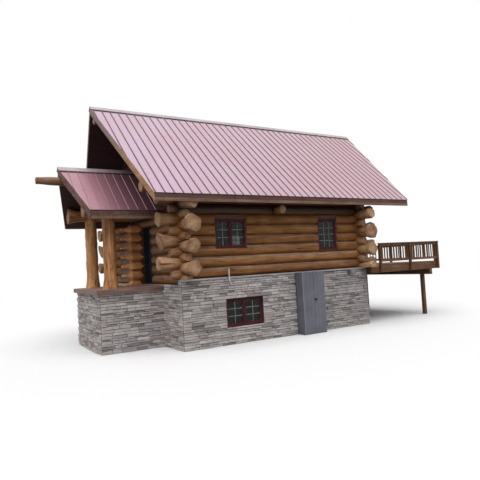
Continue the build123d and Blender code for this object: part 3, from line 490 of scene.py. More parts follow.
def close_wood(shader, grain, colour, knots, checks, sheen, raised, depth):
    """Lays knots and checks, each a share and a colour, over the wood and lifts its fibres."""
    for key, (share, shade) in (("Knots", knots), ("Checks", checks)):
        colour = mix(times(grain[key], share), colour, shade)
    feed(shader, {"Base Color": colour, "Roughness": spread(grain["Fibres"], 0.3, 0.7, *sheen),
                  "Specular IOR Level": 0.3, "Normal": bump(raised, depth)})


def wood_finish(name, direction, dark, middle, light, roughness=0.6, greyed=None):
    """Stained or painted timber with its grain along one way, greyed towards a height."""
    material, shader, place = new_finish(name)
    grain, mottled = grain_at(place, direction, knot_size=0.1, weather_size=0.6,
                              streaks=0.55, patches=0.3, tones=0.35)
    colour = ramp(mottled, (0.1, dark), (0.5, middle), (0.95, light))
    if greyed:
        low, high, grey = greyed
        colour = mix(spread(lay("SeparateXYZ", {0: place})["Z"], low, high, 0.0, 0.8), colour, grey)
    close_wood(shader, grain, colour, knots=(0.8, tuple(c * 0.35 for c in dark)),
               checks=(0.9, tuple(c * 0.2 for c in dark)), sheen=(roughness - 0.08, roughness + 0.1),
               raised=step("SUBTRACT", grain["Fibres"], times(grain["Checks"], 2.0)), depth=0.004)
    return material


def lay_boards(name, material, low, high, top, width, direction, rooms=(), seed=0, run=(2.0, 4.2)):
    """Boards 20 mm thick between two corners. Rooms are spans left open across a board."""
    random = Random(seed)
    board = block((-0.5,) * 3, (0.5,) * 3, 0.03)
    long_way, cross_way = (0, 1) if direction == "x" else (1, 0)
    places = []
    across = low[cross_way] + width / 2
    while across < high[cross_way] - 0.01:
        stops = [low[long_way], high[long_way]]
        for limit, gap_low, gap_high in rooms:
            if across - width / 2 < limit:
                stops += [gap_low, gap_high]
        stops.sort()
        for start, end in zip(stops[::2], stops[1::2]):
            while start < end - 0.001:
                stop = start + random.uniform(*run)
                stop = end if end - stop < 0.5 else stop
                size, spot = [width - side_gap] * 3, [across] * 3
                size[long_way], spot[long_way] = stop - start - end_gap, (start + stop) / 2
                size[2], spot[2] = board_thickness, top
                matrix = Matrix.Translation(spot) @ Matrix.Diagonal((*size, 1))
                places.append((0, matrix, random.random()))
                start = stop
        across += width
    fix_copies(name, material, [board], places)


floor_low, floor_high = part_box("main_floor")
floor_varnish = wood_finish("floor_boards", "x", (0.16, 0.07, 0.025), (0.34, 0.17, 0.07),
                            (0.5, 0.29, 0.14), 0.35)
finish_nodes(floor_varnish, "main_floor")
lay_boards("floor_boards", floor_varnish, floor_low, floor_high, floor_high.z + 0.009,
           width=0.13, direction="x", seed=21)

# Log walls
# Peeled logs in round courses, scribed over the one below and notched over those they
# cross. Each log has a butt at one end, hewn flat in facets with an axe, and a tip at
# the other, and the courses alternate.

End = namedtuple("End", "radius length falloff facets slant", defaults=((), None))
course_height = 0.35
log_radius = 0.19
wall_y = -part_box("tie_log")[0].y - 0.64
gable_x = -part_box("entry_wing_logs")[0].x - 0.89
first_course = wall_top + course_height / 2
top_course = 8
butt_reach = 0.86
tip_reach = 0.45
tip_radius = 0.122
wall_butts = (0.245, 0.24, 0.25, 0.30, 0.26, 0.255, 0.245, 0.25)
gable_butts = (0.245, 0.255, 0.25, 0.245, 0.30, 0.305, 0.212, 0.25)
plate_left, plate_right = -5.165, 5.53
saw_clear = 0.03
saw_reach = 0.4
ring_spacing = 0.12
end_rounding = 0.012
pale_reach = 0.16
roof_angle = math.radians(41.05)
tan_roof = math.tan(roof_angle)
cos_roof = math.cos(roof_angle)
roof_under = first_course + course_height * top_course + wall_y * tan_roof + log_radius / cos_roof

# Facets of the three kinds of hewn butt: a bearing from the top as the hour hand turns,
# the share of the radius left, and the lean along the log, with angles in degrees
hewn_ways = (
    ((-95, 0.68, 38), (-38, 0.84, 24), (28, 0.86, 20), (92, 0.93, 12), (152, 0.90, 16), (205, 0.68, 24)),
    ((-100, 0.72, 42), (-20, 0.88, 18), (45, 0.92, 26), (120, 0.90, 14), (195, 0.74, 20)),
    ((-80, 0.66, 34), (-5, 0.90, 16), (62, 0.90, 18), (128, 0.82, 30), (215, 0.70, 26)),
)


def new_texture(name, kind, scale):
    texture = bpy.data.textures.new(name, kind)
    texture.noise_scale = scale
    return texture


lumps = new_texture("log_lumps", "CLOUDS", 0.42)
lumps.noise_depth = 2
dents = new_texture("drawknife_dents", "CLOUDS", 0.10)
dents.noise_depth = 1


def facing_at(place):
    return lay("SeparateXYZ", {0: lay("NewGeometry", {}, place.id_data)["Normal"]})


def past(value, limit):
    return step("SUBTRACT", step("ABSOLUTE", value), limit)


def stained_log_finish(name, direction, bright=1.0, bleached_and_shaded=True):
    """Honey stain. In the open it is paler on top and past the corners, with painted shade at the eaves and
    on the gable logs behind the wing ends; faces turned down always carry painted shade.
    """
    material, shader, place = new_finish(name)
    grain, mottled = grain_at(place, direction, knot_size=0.13, weather_size=0.9,
                              streaks=0.5, patches=0.26, tones=0.32)

    def shade(*shades):
        return ramp(mottled, *((at, tuple(bright * c for c in colour))
                               for at, colour in zip((0.08, 0.45, 0.95), shades)))

    gold = shade((0.12, 0.04, 0.008), (0.28, 0.11, 0.024), (0.50, 0.24, 0.07))
    pale = shade((0.22, 0.11, 0.060), (0.56, 0.31, 0.18), (0.80, 0.53, 0.33))
    facing = facing_at(place)["Z"]
    if bleached_and_shaded:
        tan = shade((0.11, 0.05, 0.027), (0.25, 0.128, 0.075), (0.48, 0.30, 0.20))
        x, y, z = lay("SeparateXYZ", {0: place})
        upward = times(spread(facing, -0.12, 0.55), spread(z, 4.3, 3.2, 0.12, 1.0))
        colour = mix(upward, gold, tan)
        # Painted shade: nearly black on the left gable's logs under the porch roof, behind the wing ends, and
        # on the courses under the eave
        by_door = times(spread(y, -0.2, 0.0), spread(y, 3.0, 2.5))
        porch_shade = times(by_door, spread(x, -3.5, -3.7, 0.0, 0.75))
        eave_shade = spread(z, 4.3, 4.45, 0.0, 0.93)
        colour = mix(step("MAXIMUM", porch_shade, eave_shade), colour, (0.013, 0.003, 0.0025))
        # Paler past the corners, as weathered ends, and less so near the eave, where painted shade takes over
        past_corner = step("MAXIMUM", past(x, gable_x + 0.2), past(y, wall_y + 0.2))
        corner_bleach_and_eave_shade = times(spread(past_corner, 0.0, 0.3, 0.0, 0.88), spread(z, 4.45, 4.75, 1.0, 0.6))
        colour = mix(corner_bleach_and_eave_shade, colour, pale)
    else:
        colour = mix(0.3, gold, pale)
    # Painted shade: faces turned down are darkened
    colour = mix(spread(facing, -0.35, -0.98, 0.0, 0.7), colour, (0.07, 0.022, 0.006))
    raised = step("SUBTRACT", grain["Fibres"], times(grain["Checks"], 3.0))
    close_wood(shader, grain, colour, knots=(0.85, (0.05, 0.018, 0.008)),
               checks=(0.9, (0.03, 0.012, 0.006)), sheen=(0.45, 0.65),
               raised=step("ADD", raised, times(grain["Knots"], 1.5)), depth=0.006)
    return material


open_stain = {direction: stained_log_finish("stained_log_" + direction, direction) for direction in "xyz"}

# End grain has growth rings round the heart and checks that run out from it
end_grain, shader, place = new_finish("log_end_grain")
heart = lay("SeparateXYZ", {0: lay("UVMap", {}, place.id_data, uv_map="heart")["UV"]})
across, up = heart["X"], heart["Y"]
reach = step("POWER", step("ADD", times(across, across), times(up, up)), 0.5)
reach = step("ADD", reach, times(noise(place, 7.0, 2.0), 0.03))
rings = spread(step("SINE", times(reach, 420.0)), -1, 1)
tone = tone_at(place)
around = times(step("ARCTAN2", up, across), 2.2)
spokes = lay("CombineXYZ", {0: around, 1: times(reach, 1.5), 2: tone})[0]
ray = step("ABSOLUTE", step("SUBTRACT", noise(spokes, 3.0, 1.0), 0.5))
check = spread(ray, 0.0, 0.007, 1.0, 0.0)
worn = weather_at(place, 0.22)
colour = ramp(shares((worn["Patches"], 0.6), (tone, 0.4)), (0.1, (0.33, 0.17, 0.088)),
              (0.5, (0.64, 0.38, 0.22)), (0.95, (0.84, 0.57, 0.36)))
colour = mix(times(rings, 0.3), colour, (0.14, 0.06, 0.025))
colour = mix(spread(reach, 0.10, 0.24, 0.0, 0.45), colour, (0.15, 0.065, 0.025))
feed(shader, {"Base Color": mix(times(check, 0.8), colour, (0.04, 0.018, 0.009)),
              "Roughness": spread(worn["Specks"], 0, 1, 0.7, 0.9),
              "Normal": bump(step("SUBTRACT", rings, times(check, 3.0)), 0.003)})

axis_of = {"x": Vector((1, 0, 0)), "y": Vector((0, 1, 0)), "z": Vector((0, 0, 1))}
turn_of = {"x": (0, math.pi / 2, 0), "y": (math.pi / 2, 0, 0), "z": (0, 0, 0)}


def smooth(piece, angle=35):
    make_active(piece)
    bpy.ops.object.shade_smooth_by_angle(angle=math.radians(angle))


def give_tone(piece, value):
    layer = piece.data.attributes.get("tone") or piece.data.attributes.new("tone", "FLOAT", "POINT")
    layer.data.foreach_set("value", [value] * len(piece.data.vertices))


def map_heart(log, direction, across, height):
    """Puts each point's place from the log's heart into a UV map, for the rings."""
    first, second = {"x": (1, 2), "y": (0, 2), "z": (0, 1)}[direction]
    points = np.array([v.co for v in log.data.vertices])[[loop.vertex_index for loop in log.data.loops]]
    heart = np.stack([points[:, first] - across, points[:, second] - height], axis=1)
    while log.data.uv_layers:
        log.data.uv_layers.remove(log.data.uv_layers[0])
    log.data.uv_layers.new(name="heart").data.foreach_set("uv", heart.astype(np.float32).ravel())


def cut_flat(spot, normal):
    """Cuts the piece in edit mode along a plane and drops what lies past it."""
    bpy.ops.mesh.select_all(action="SELECT")
    bpy.ops.mesh.bisect(plane_co=spot, plane_no=normal, use_fill=True, clear_outer=True)


def hew_end(end_centre, facing, shape, random):
    """Takes the facets off a log's end, and the end itself where it was cut aslant."""
    up = Vector((0, 0, 1)) if abs(facing.z) < 0.5 else Vector((0, 1, 0))
    right = up.cross(facing)
    for bearing, left, lean in shape.facets:
        angle = math.radians(bearing + random.uniform(-7, 7))
        lean = math.radians(lean + random.uniform(-3, 3))
        out = up * math.cos(angle) + right * math.sin(angle)
        cut_flat(end_centre + out * shape.radius * (left + random.uniform(-0.03, 0.03)),
                 out * math.cos(lean) + facing * math.sin(lean))
    if shape.slant:
        bearing, lean = (math.radians(a) for a in shape.slant)
        out = up * math.cos(bearing) + right * math.sin(bearing)
        cut_flat(end_centre - out * shape.radius * 0.9, facing * math.cos(lean) + out * math.sin(lean))


def roughen(piece, texture, strength):
    apply_modifier(piece, "DISPLACE", texture=texture, texture_coords="GLOBAL", strength=strength,
                   mid_level=0.5)


def draw_log(direction, start, finish, across, height, radius, ends=(None, None), seed=0, crown=0.012,
             dent=0.006, pale_ends=True, stain=open_stain):
    """One peeled log along an axis, with its ends swelled or tapered and then hewn."""
    random = Random(seed)
    axis = axis_of[direction]
    middle = (start + finish) / 2
    centre = Vector({"x": (middle, across, height), "y": (across, middle, height),
                     "z": (across, height, middle)}[direction])
    length = finish - start - 2 * crown
    start_alone()
    bpy.ops.mesh.primitive_cylinder_add(vertices=32, radius=radius, depth=length, location=centre,
                                        rotation=turn_of[direction])
    log = bpy.context.object
    set_place()
    open_mesh(log)
    bpy.ops.mesh.select_mode(type="EDGE")
    bpy.ops.mesh.select_all(action="DESELECT")
    work = bmesh.from_edit_mesh(log.data)
    for edge in work.edges:
        edge.select = abs((edge.verts[1].co - edge.verts[0].co).normalized().dot(axis)) > 0.9
    bmesh.update_edit_mesh(log.data)
    bpy.ops.mesh.subdivide_edgering(number_cuts=max(2, round(length / ring_spacing)),
                                     interpolation="LINEAR")
    for outward, shape in zip((-1, 1), ends):
        facing = axis * outward
        tip = centre + facing * length / 2
        if shape:
            choose_faces(log, lambda c, n: n.dot(facing) > 0.9)
            grow = shape.radius / radius
            bpy.ops.transform.resize(value=[1 + (grow - 1) * (1 - abs(a)) for a in axis],
                                     center_override=tip, use_proportional_edit=True,
                                     proportional_edit_falloff=shape.falloff,
                                     proportional_size=shape.length)
            hew_end(tip, facing, shape, random)
        choose_faces(log, lambda c, n: n.dot(facing) > 0.93 and (c - tip).length < 0.05 + radius / 4)
        bpy.ops.mesh.remove_doubles(threshold=0.016)
        bpy.ops.mesh.inset(thickness=end_rounding, depth=crown)
    bpy.ops.mesh.select_all(action="SELECT")
    bpy.ops.mesh.normals_make_consistent(inside=False)
    if bmesh.from_edit_mesh(log.data).calc_volume(signed=True) < 0:
        bpy.ops.mesh.flip_normals()
    close_mesh()
    roughen(log, lumps, 0.03)
    if dent:
        roughen(log, dents, dent)
    log.data.materials.clear()
    log.data.materials.append(stain[direction])
    log.data.materials.append(end_grain)
    if pale_ends:
        for face in log.data.polygons:
            at = Vector(face.center).dot(axis)
            inside = start + pale_reach < at < finish - pale_reach
            if abs(Vector(face.normal).dot(axis)) > 0.5 and not inside:
                face.material_index = 1
    map_heart(log, direction, across, height)
    give_tone(log, random.random())
    smooth(log, 24)
    return log


def saw_out(log, low, high, point=1.0):
    """Takes a block's room out of a log, or a wedge's that thins to a share at its far end."""
    cutter = block(low, high, 0)
    open_mesh(cutter)
    choose_faces(cutter, lambda c, n: n.x > 0.9)
    bpy.ops.transform.resize(value=(1, 1, point),
                             center_override=(high[0], (low[1] + high[1]) / 2, (low[2] + high[2]) / 2))
    close_mesh()
    apply_modifier(log, "BOOLEAN", operation="DIFFERENCE", solver="EXACT", object=cutter)
    bpy.data.objects.remove(cutter)


def trim_to_slope(piece, axis_y, under_apex):
    """Cuts a piece back to the underside of the roof."""
    open_mesh(piece)
    for side in (-1, 1):
        cut_flat((0, axis_y, under_apex), (0, side * tan_roof, 1))
    close_mesh()


def butt(radius, way, slant=None):
    return End(radius, 0.52, "SHARP", hewn_ways[way % 3], slant)


def tip_end(random):
    return End(tip_radius, 0.23, "LINEAR", (), (random.uniform(-180, 180), random.uniform(4, 14)))


def window_room(frame_node, number):
    """The sawn opening of one window, from its frame and head board."""
    points = np.array([v.co for v in nodes[frame_node].data.vertices])
    side = points[points[:, 0] < 0.5] if number == 0 else points[points[:, 0] > 0.5]
    return side.min(0), side.max(0)


def lay_long_wall(side, name, frame_node, stands_for, seed):
    random = Random(seed)
    face = side * wall_y
    openings = [window_room(frame_node, number) for number in (0, 1)]
    logs = []
    for course in range(top_course + 1):
        height = first_course + course * course_height
        radius = log_radius * random.uniform(0.97, 1.05)
        if course == top_course:
            log = draw_log("x", plate_left, plate_right, face, height, log_radius - 0.008,
                           seed=seed + course)
        else:
            slant = {3: (180, 15), 5: (150, 6)}.get(course)
            ends = [butt(wall_butts[course], course, slant), tip_end(random)]
            reaches = [-gable_x - butt_reach, gable_x + tip_reach]
            if course % 2 == 0:
                ends.reverse()
                reaches = [-gable_x - tip_reach, gable_x + butt_reach]
            log = draw_log("x", *reaches, face, height, radius, ends, seed=seed + course)
            if course == 0:
                saw_out(log, (-6, face - 1, 0), (6, face + 1, wall_top))
            if course == 1 and side < 0:
                # The split that runs in from the butt, as wide as a hand
                saw_out(log, (-4.80, face - 0.33, height - 0.035), (-4.18, face - 0.13, height + 0.035), 0.08)
        for low, high in openings:
            if height - radius - saw_clear < high[2] and height + radius + saw_clear > low[2]:
                saw_out(log, (low[0], face - saw_reach, low[2]), (high[0], face + saw_reach, high[2]))
        logs.append(log)
    fix_piece(logs, name, stands_for=stands_for)


def lay_gable_wall(side, name, door_node, stands_for, seed):
    random = Random(seed)
    face = side * gable_x
    low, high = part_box(door_node)
    logs = []
    for course in range(top_course + 1):
        height = wall_top + course * course_height
        radius = log_radius * random.uniform(0.97, 1.05)
        ends = [tip_end(random), tip_end(random)]
        reaches = [-wall_y - tip_reach, wall_y + tip_reach]
        if course < top_course:
            place = 0 if (course % 2 == 1) == (side < 0) else 1
            way = {1: 2, 3: 1, 5: 0}.get(course, course)
            ends[place] = butt(gable_butts[course], way, (-150, 10) if course == 3 else None)
            reaches[place] = (2 * place - 1) * (wall_y + butt_reach)
        log = draw_log("y", *reaches, face, height, radius, ends, seed=seed + course)
        if height - radius - saw_clear < high.z:
            saw_out(log, (face - saw_reach, low.y, low.z), (face + saw_reach, high.y, high.z))
        if course == 0:
            saw_out(log, (face - 0.5, -5, 0), (face + 0.5, 5, gable_foot))
            for end in (-1, 1):
                saw_out(log, (face - 0.5, end * (wall_y - 0.11), 0), (face + 0.5, end * 5, wall_top))
        if course >= top_course - 1:
            trim_to_slope(log, 0, roof_under)
        logs.append(log)
    fix_piece(logs, name, stands_for=stands_for)


lay_long_wall(-1, "front_wall_peeled_logs", "front_window_frames", ["front_wall_logs"], 100)
lay_long_wall(1, "back_wall_peeled_logs", "back_window_frames", ["back_wall_logs"], 200)
lay_gable_wall(-1, "left_gable_peeled_logs", "entry_door_frame",
               ["left_gable_logs_front", "left_gable_logs_back", "left_gable_logs_over_door"], 300)
lay_gable_wall(1, "right_gable_peeled_logs", "deck_door", ["right_gable_logs"], 400)

# Wing wall ends beside the door
# The ends of an inner wall's logs that cross the gable, rounded over, the lowest one
# half a log that stands on the porch floor.

wing_low, wing_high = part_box("entry_wing_logs")
wing_radius = 0.165
wing_y = (wing_low.y + wing_high.y) / 2
sheltered_stain = {direction: stained_log_finish("sheltered_log_" + direction, direction, 1.55, False)
                   for direction in "xyz"}
# Painted light: the wing ends' stain is three times as bright, standing for the light that reaches them from
# the porch's open side
wing_painted_light_stain = {"x": stained_log_finish("wing_log", "x", 3.0, False)}
wing_end = End(wing_radius * 0.36, 0.30, "SPHERE")
logs = []
for course in range(-1, 6):
    inner = -gable_x - log_radius if course < 0 else -gable_x + log_radius
    height = first_course + course * course_height
    log = draw_log("x", wing_low.x, inner, wing_y, height, wing_radius * 1.06, (wing_end, None),
                   500 + course, crown=0.04, pale_ends=False, stain=wing_painted_light_stain)
    if course < 0:
        saw_out(log, (wing_low.x - 0.2, wing_y - 0.4, 1.0), (inner + 0.2, wing_y + 0.4, wing_low.z))
    logs.append(log)
fix_piece(logs, "entry_wing_peeled_logs", stands_for=["entry_wing_logs"])

# Tie log and ridge log
# The tie log crosses the cabin and shows its greyish ends on both long walls. The
# ridge log carries the rafters and runs out under the points of the roof.

tie_radius = 0.143
ridge_radius = 0.163
low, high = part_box("tie_log")
tie = draw_log("y", low.y, high.y, (low.x + high.x) / 2, (low.z + high.z) / 2, tie_radius, seed=601)
fix_piece(tie, "tie_peeled_log", stands_for=["tie_log"])
low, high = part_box("ridge_log")
ridge = draw_log("x", low.x, high.x, 0, (low.z + high.z) / 2, ridge_radius, seed=602)
fix_piece(ridge, "ridge_peeled_log", stands_for=["ridge_log"])

# Gable siding
# Lapped boards stained dark and darkened to nearly black as painted shade, nailed level across the gable
# triangles.

siding_stain_and_shade = wood_finish("dark_siding", "y", (0.009, 0.003, 0.0035), (0.018, 0.005, 0.0065),
                           (0.032, 0.012, 0.014), 0.55)
siding_step = 0.15
siding_lap = 0.02
for side, node in ((-1, "left_gable_infill"), (1, "right_gable_infill")):
    finish_nodes(siding_stain_and_shade, node)
    low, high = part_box(node)
    face = low.x if side < 0 else high.x
    boards = []
    height = low.z
    random = Random(31)
    while height < high.z - 0.05:
        half = (high.z - height) / tan_roof
        board = block((face - side * 0.01, -half, height),
                      (face + side * 0.018, half, height + siding_step + siding_lap), 0.002)
        shift_faces(board, lambda c, n: n.z > 0.9, (-side * 0.012, 0, 0))
        give_tone(board, random.random())
        boards.append(board)
        height += siding_step
    siding = join_pieces(boards)
    trim_to_slope(siding, 0, roof_under - 0.002)
    fix_piece(siding, node.replace("infill", "siding"), siding_stain_and_shade)

# Roof boards
# Boards 140 mm wide under the rafters, stained dark and darkened further as painted shade.
# They show at the eaves, in the prows and from inside.

soffit_stain_and_shade = wood_finish("soffit_boards", "x", (0.012, 0.003, 0.004), (0.025, 0.006, 0.007),
                           (0.046, 0.014, 0.015), 0.6)
soffit_width = 0.14
soffit_thickness = 0.012
Roof = namedtuple("Roof", "axis_y ridge half_width eave_a eave_b ridge_a ridge_b")
metal_low, metal_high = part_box("front_roof_metal")
main_roof = Roof(axis_y=0, ridge=8.7, half_width=-metal_low.y, eave_a=-5.097, eave_b=5.92,
                 ridge_a=metal_low.x, ridge_b=metal_high.x)


def roof_ends(roof, share):
    """Where the sloping verges lie at a share of the way down from the ridge."""
    return (roof.ridge_a + (roof.eave_a - roof.ridge_a) * share,
            roof.ridge_b + (roof.eave_b - roof.ridge_b) * share)


def slope_place(roof, side, x, out, apex):
    """A place on one slope, with Z square to it."""
    spot = Matrix.Translation((x, roof.axis_y + side * out, apex - out * tan_roof))
    return spot @ Matrix.Rotation(-side * roof_angle, 4, "X")


def line_roof(name, roof, under, half_width, seed):
    """Boards along X under both slopes, each ending at the sloping verge."""
    random = Random(seed)
    plank = block((-0.5,) * 3, (0.5,) * 3, 0.04)
    places = []
    for side in (-1, 1):
        down = soffit_width / 2
        while down < half_width / cos_roof:
            out = down * cos_roof
            left, right = roof_ends(roof, min(1, (out + soffit_width * cos_roof / 2) / half_width))
            size = Matrix.Diagonal((right - left - 0.024, soffit_width - side_gap, soffit_thickness, 1))
            spot = slope_place(roof, side, (left + right) / 2, out, under - soffit_thickness / 2)
            places.append((0, spot @ size, random.random()))
            down += soffit_width
    fix_copies(name, soffit_stain_and_shade, [plank], places)


eave_low, eave_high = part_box("eave_boards")
line_roof("soffit_boards", main_roof, roof_under, eave_high.y - 0.042, 41)
finish_nodes(soffit_stain_and_shade, "front_roof_panel", "back_roof_panel", "porch_front_roof_panel",
             "porch_back_roof_panel")

# Roof metal
# Burgundy ribbed sheet, enamelled over galvanized steel. It mirrors the sky softly.
# Its pale pink, palest towards the left, is a painted sky reflection over streaks and patches.
# Painted shadow darkens the foot of each rib on the main roof, and a painted dark reflection
# its sides; the porch roof is darker, a painted dark reflection, with a painted pale reflection
# on its rib sides. The caps are a paler colour.

rib_height = 0.019
rib_base = 0.046
rib_spacing = 0.3048
porch_low, porch_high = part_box("porch_floor")
porch_y = (porch_low.y + porch_high.y) / 2
porch_roof = Roof(axis_y=porch_y, ridge=6.26, half_width=1.9, eave_a=-6.5, eave_b=-4.04,
                  ridge_a=-7.06, ridge_b=-4.04)
cap_edge = 0.182
closure_half = 0.032


def enamel_finish(name, faded, deep, roof, painted_side_colour, side_sheen, foot_shadow):
    """Enamel with streaks and patches, palest towards the left as a painted sky reflection, with a painted
    reflection on the rib sides and painted shadow at the rib feet.
    """
    material, shader, place = new_finish(name)
    worn = weather_at(place, 1.6)
    x = lay("SeparateXYZ", {0: place})["X"]
    run_down = lay("VectorMath", {0: place, 1: (9.0, 0.5, 0.5)}, operation="MULTIPLY")[0]
    # Palest towards the left: a painted sky reflection, over streaks and patches
    blend = shares((worn["Patches"], 0.25), (noise(run_down, 1.0, 4.0), 0.35),
                   (spread(x, -6.0, 7.0, 1.0, 0.0), 0.45))
    # Painted reflection on the rib sides, dark on the main roof and pale on the porch roof
    rib_reflection_and_shadow = spread(step("ABSOLUTE", facing_at(place)["X"]), 0.25, 0.45)
    # Painted shadow at the foot of each rib
    if foot_shadow:
        from_rib = step("DIVIDE", step("SUBTRACT", x, roof.eave_a + rib_base), rib_spacing)
        half_rib = 0.5 * rib_base / rib_spacing
        foot = spread(step("PINGPONG", from_rib, 0.5), half_rib, half_rib + 0.035, foot_shadow, 0.0)
        rib_reflection_and_shadow = step("MAXIMUM", foot, rib_reflection_and_shadow)
    feed(shader, {"Base Color": mix(rib_reflection_and_shadow, ramp(blend, (0.0, deep), (1.0, faded)), painted_side_colour),
                  "Roughness": spread(worn["Specks"], 0, 1, 0.27, 0.36),
                  "Metallic": spread(rib_reflection_and_shadow, 0, 1, 0.55, side_sheen),
                  "Coat Weight": spread(rib_reflection_and_shadow, 0, 1, 0.6, side_sheen), "Coat Roughness": 0.22,
                  "Coat IOR": 1.7})
    return material


def close_ridge(name, roof, left, right):
    """Dark closure strips that fill the ribs' hollows under the lower edges of a cap."""
    strips = []
    for side in (-1, 1):
        strip = block((left, -closure_half, 0.0005), (right, closure_half, rib_height), 0.002)
        strip.data.transform(slope_place(roof, side, 0, cap_edge, roof.ridge))
        strips.append(strip)
    fix_piece(strips, name, rubber)


roof_enamel = enamel_finish("burgundy_enamel", (0.56, 0.42, 0.56), (0.53, 0.26, 0.27), main_roof,
                            (0.085, 0.018, 0.026), side_sheen=0.05, foot_shadow=0.75)
porch_enamel = enamel_finish("porch_enamel_painted_sheen", (0.44, 0.21, 0.26), (0.33, 0.145, 0.185), porch_roof,
                             (0.26, 0.13, 0.155), side_sheen=0.5, foot_shadow=0.0)
cap_enamel = plain_finish("cap_enamel", 1.2, (0.36, 0.28, 0.31), (0.50, 0.43, 0.46), 0.3, 0.42,
                          {"Metallic": 0.4, "Coat Weight": 0.5, "Coat Roughness": 0.2})
rubber = plain_finish("closure_rubber", 0.4, (0.018, 0.008, 0.010), (0.035, 0.016, 0.020), 0.6, 0.8)
finish_nodes(roof_enamel, "front_roof_metal", "back_roof_metal")
finish_nodes(porch_enamel, "porch_roof_metal")
finish_nodes(cap_enamel, "ridge_cap", "porch_ridge_cap")
close_ridge("ridge_closures", main_roof, main_roof.ridge_a + 0.05, main_roof.ridge_b - 0.05)
close_ridge("porch_ridge_closures", porch_roof, porch_roof.ridge_a + 0.05, porch_roof.ridge_b - 0.01)

# Roof screws
# Hex-headed screws with washers beside every rib, on the purlin lines.

purlin_spacing = 0.62


def screw_head():
    start_alone()
    bpy.ops.mesh.primitive_cylinder_add(vertices=8, radius=0.0115, depth=0.003, location=(0, 0, 0.0015))
    washer = bpy.context.object
    open_mesh(washer)
    choose_faces(washer, lambda centre, normal: normal.z > 0.9)
    bpy.ops.mesh.inset(thickness=0.004)
    bpy.ops.mesh.extrude_region_move(TRANSFORM_OT_translate={"value": (0, 0, 0.005)})
    close_mesh()
    return washer


def drive_screws(name, roof, material):
    places = []
    for side in (-1, 1):
        for row in range(int(roof.half_width / cos_roof / purlin_spacing) + 1):
            out = roof.half_width - 0.07 - row * purlin_spacing * cos_roof
            if out < 0.25:
                continue
            left, right = roof_ends(roof, out / roof.half_width)
            number = math.ceil((left - roof.eave_a) / rib_spacing)
            x = roof.eave_a + rib_base + rib_spacing * number + 0.05
            while x < right - 0.02:
                places.append((0, slope_place(roof, side, x, out, roof.ridge), 0.5))
                x += rib_spacing
    fix_copies(name, material, [screw_head()], places)


drive_screws("roof_screws", main_roof, roof_enamel)
drive_screws("porch_roof_screws", porch_roof, porch_enamel)

# Eave and verge boards
# Planed boards painted dark brown round the roof's edge, with a metal drip edge on top
# and a narrower, lighter board nailed along the foot of each eave.


def plane(node, name, material, width=0.004):
    """Puts a planed copy with eased arrises in the place of a node."""
    piece = place_in_scene(name, nodes[node].data.copy())
    make_active(piece)
    bpy.ops.mesh.customdata_custom_splitnormals_clear()
    open_mesh(piece)
    bpy.ops.mesh.select_all(action="SELECT")
    bpy.ops.mesh.remove_doubles(threshold=0.00005)
    bpy.ops.mesh.dissolve_limited(angle_limit=math.radians(1))
    close_mesh()
    apply_modifier(piece, "BEVEL", width=width, segments=2, limit_method="ANGLE",
                   angle_limit=math.radians(40))
    smooth(piece)
    fix_piece(piece, name, material, [node])


eave_paint = wood_finish("eave_paint", "x", (0.075, 0.030, 0.026), (0.135, 0.062, 0.052),
                         (0.20, 0.105, 0.085))
foot_paint = wood_finish("eave_foot_paint", "x", (0.14, 0.078, 0.050), (0.25, 0.150, 0.10),
                         (0.36, 0.235, 0.165))
verge_paint = wood_finish("verge_paint", "y", (0.32, 0.155, 0.07), (0.50, 0.27, 0.14),
                          (0.66, 0.40, 0.22), greyed=(5.6, 7.4, (0.20, 0.155, 0.165)))
porch_verge_paint = wood_finish("porch_verge_paint", "y", (0.085, 0.038, 0.032), (0.16, 0.080, 0.066),
                                (0.26, 0.15, 0.12))
for node, paint in (("eave_boards", eave_paint), ("verge_boards", verge_paint),
                    ("porch_trim_boards", porch_verge_paint)):
    plane(node, node + "_planed", paint)
foot_thickness = 0.0125
drip_thickness = 0.011
drip_height = 0.036
trim_low, trim_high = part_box("porch_trim_boards")
feet, drips = [], []
for roof, face, foot, right in (
    (main_roof, eave_high.y, eave_low.z, main_roof.eave_b - 0.03),
    (porch_roof, trim_high.y - porch_y, trim_low.z, porch_roof.eave_b - 0.005),
):
    drip_top = roof.ridge - 0.006 / cos_roof - face * tan_roof
    for side in (-1, 1):
        inner = roof.axis_y + side * (face - 0.002)
        feet.append(block((roof.eave_a + 0.03, inner, foot + 0.002),
                          (right, roof.axis_y + side * (face + foot_thickness), foot + 0.098)))
        drips.append(block((roof.eave_a + 0.012, inner, drip_top - drip_height),
                           (right, roof.axis_y + side * (face + drip_thickness), drip_top - 0.001), 0.002))
fix_piece(feet, "eave_foot_boards", foot_paint)
fix_piece(drips, "drip_edges", rubber)

# Windows
# Wooden windows clad in maroon metal, with narrow bars that divide each sash, thin
# casing strips, a stained board over the head and a sill that throws the rain off.

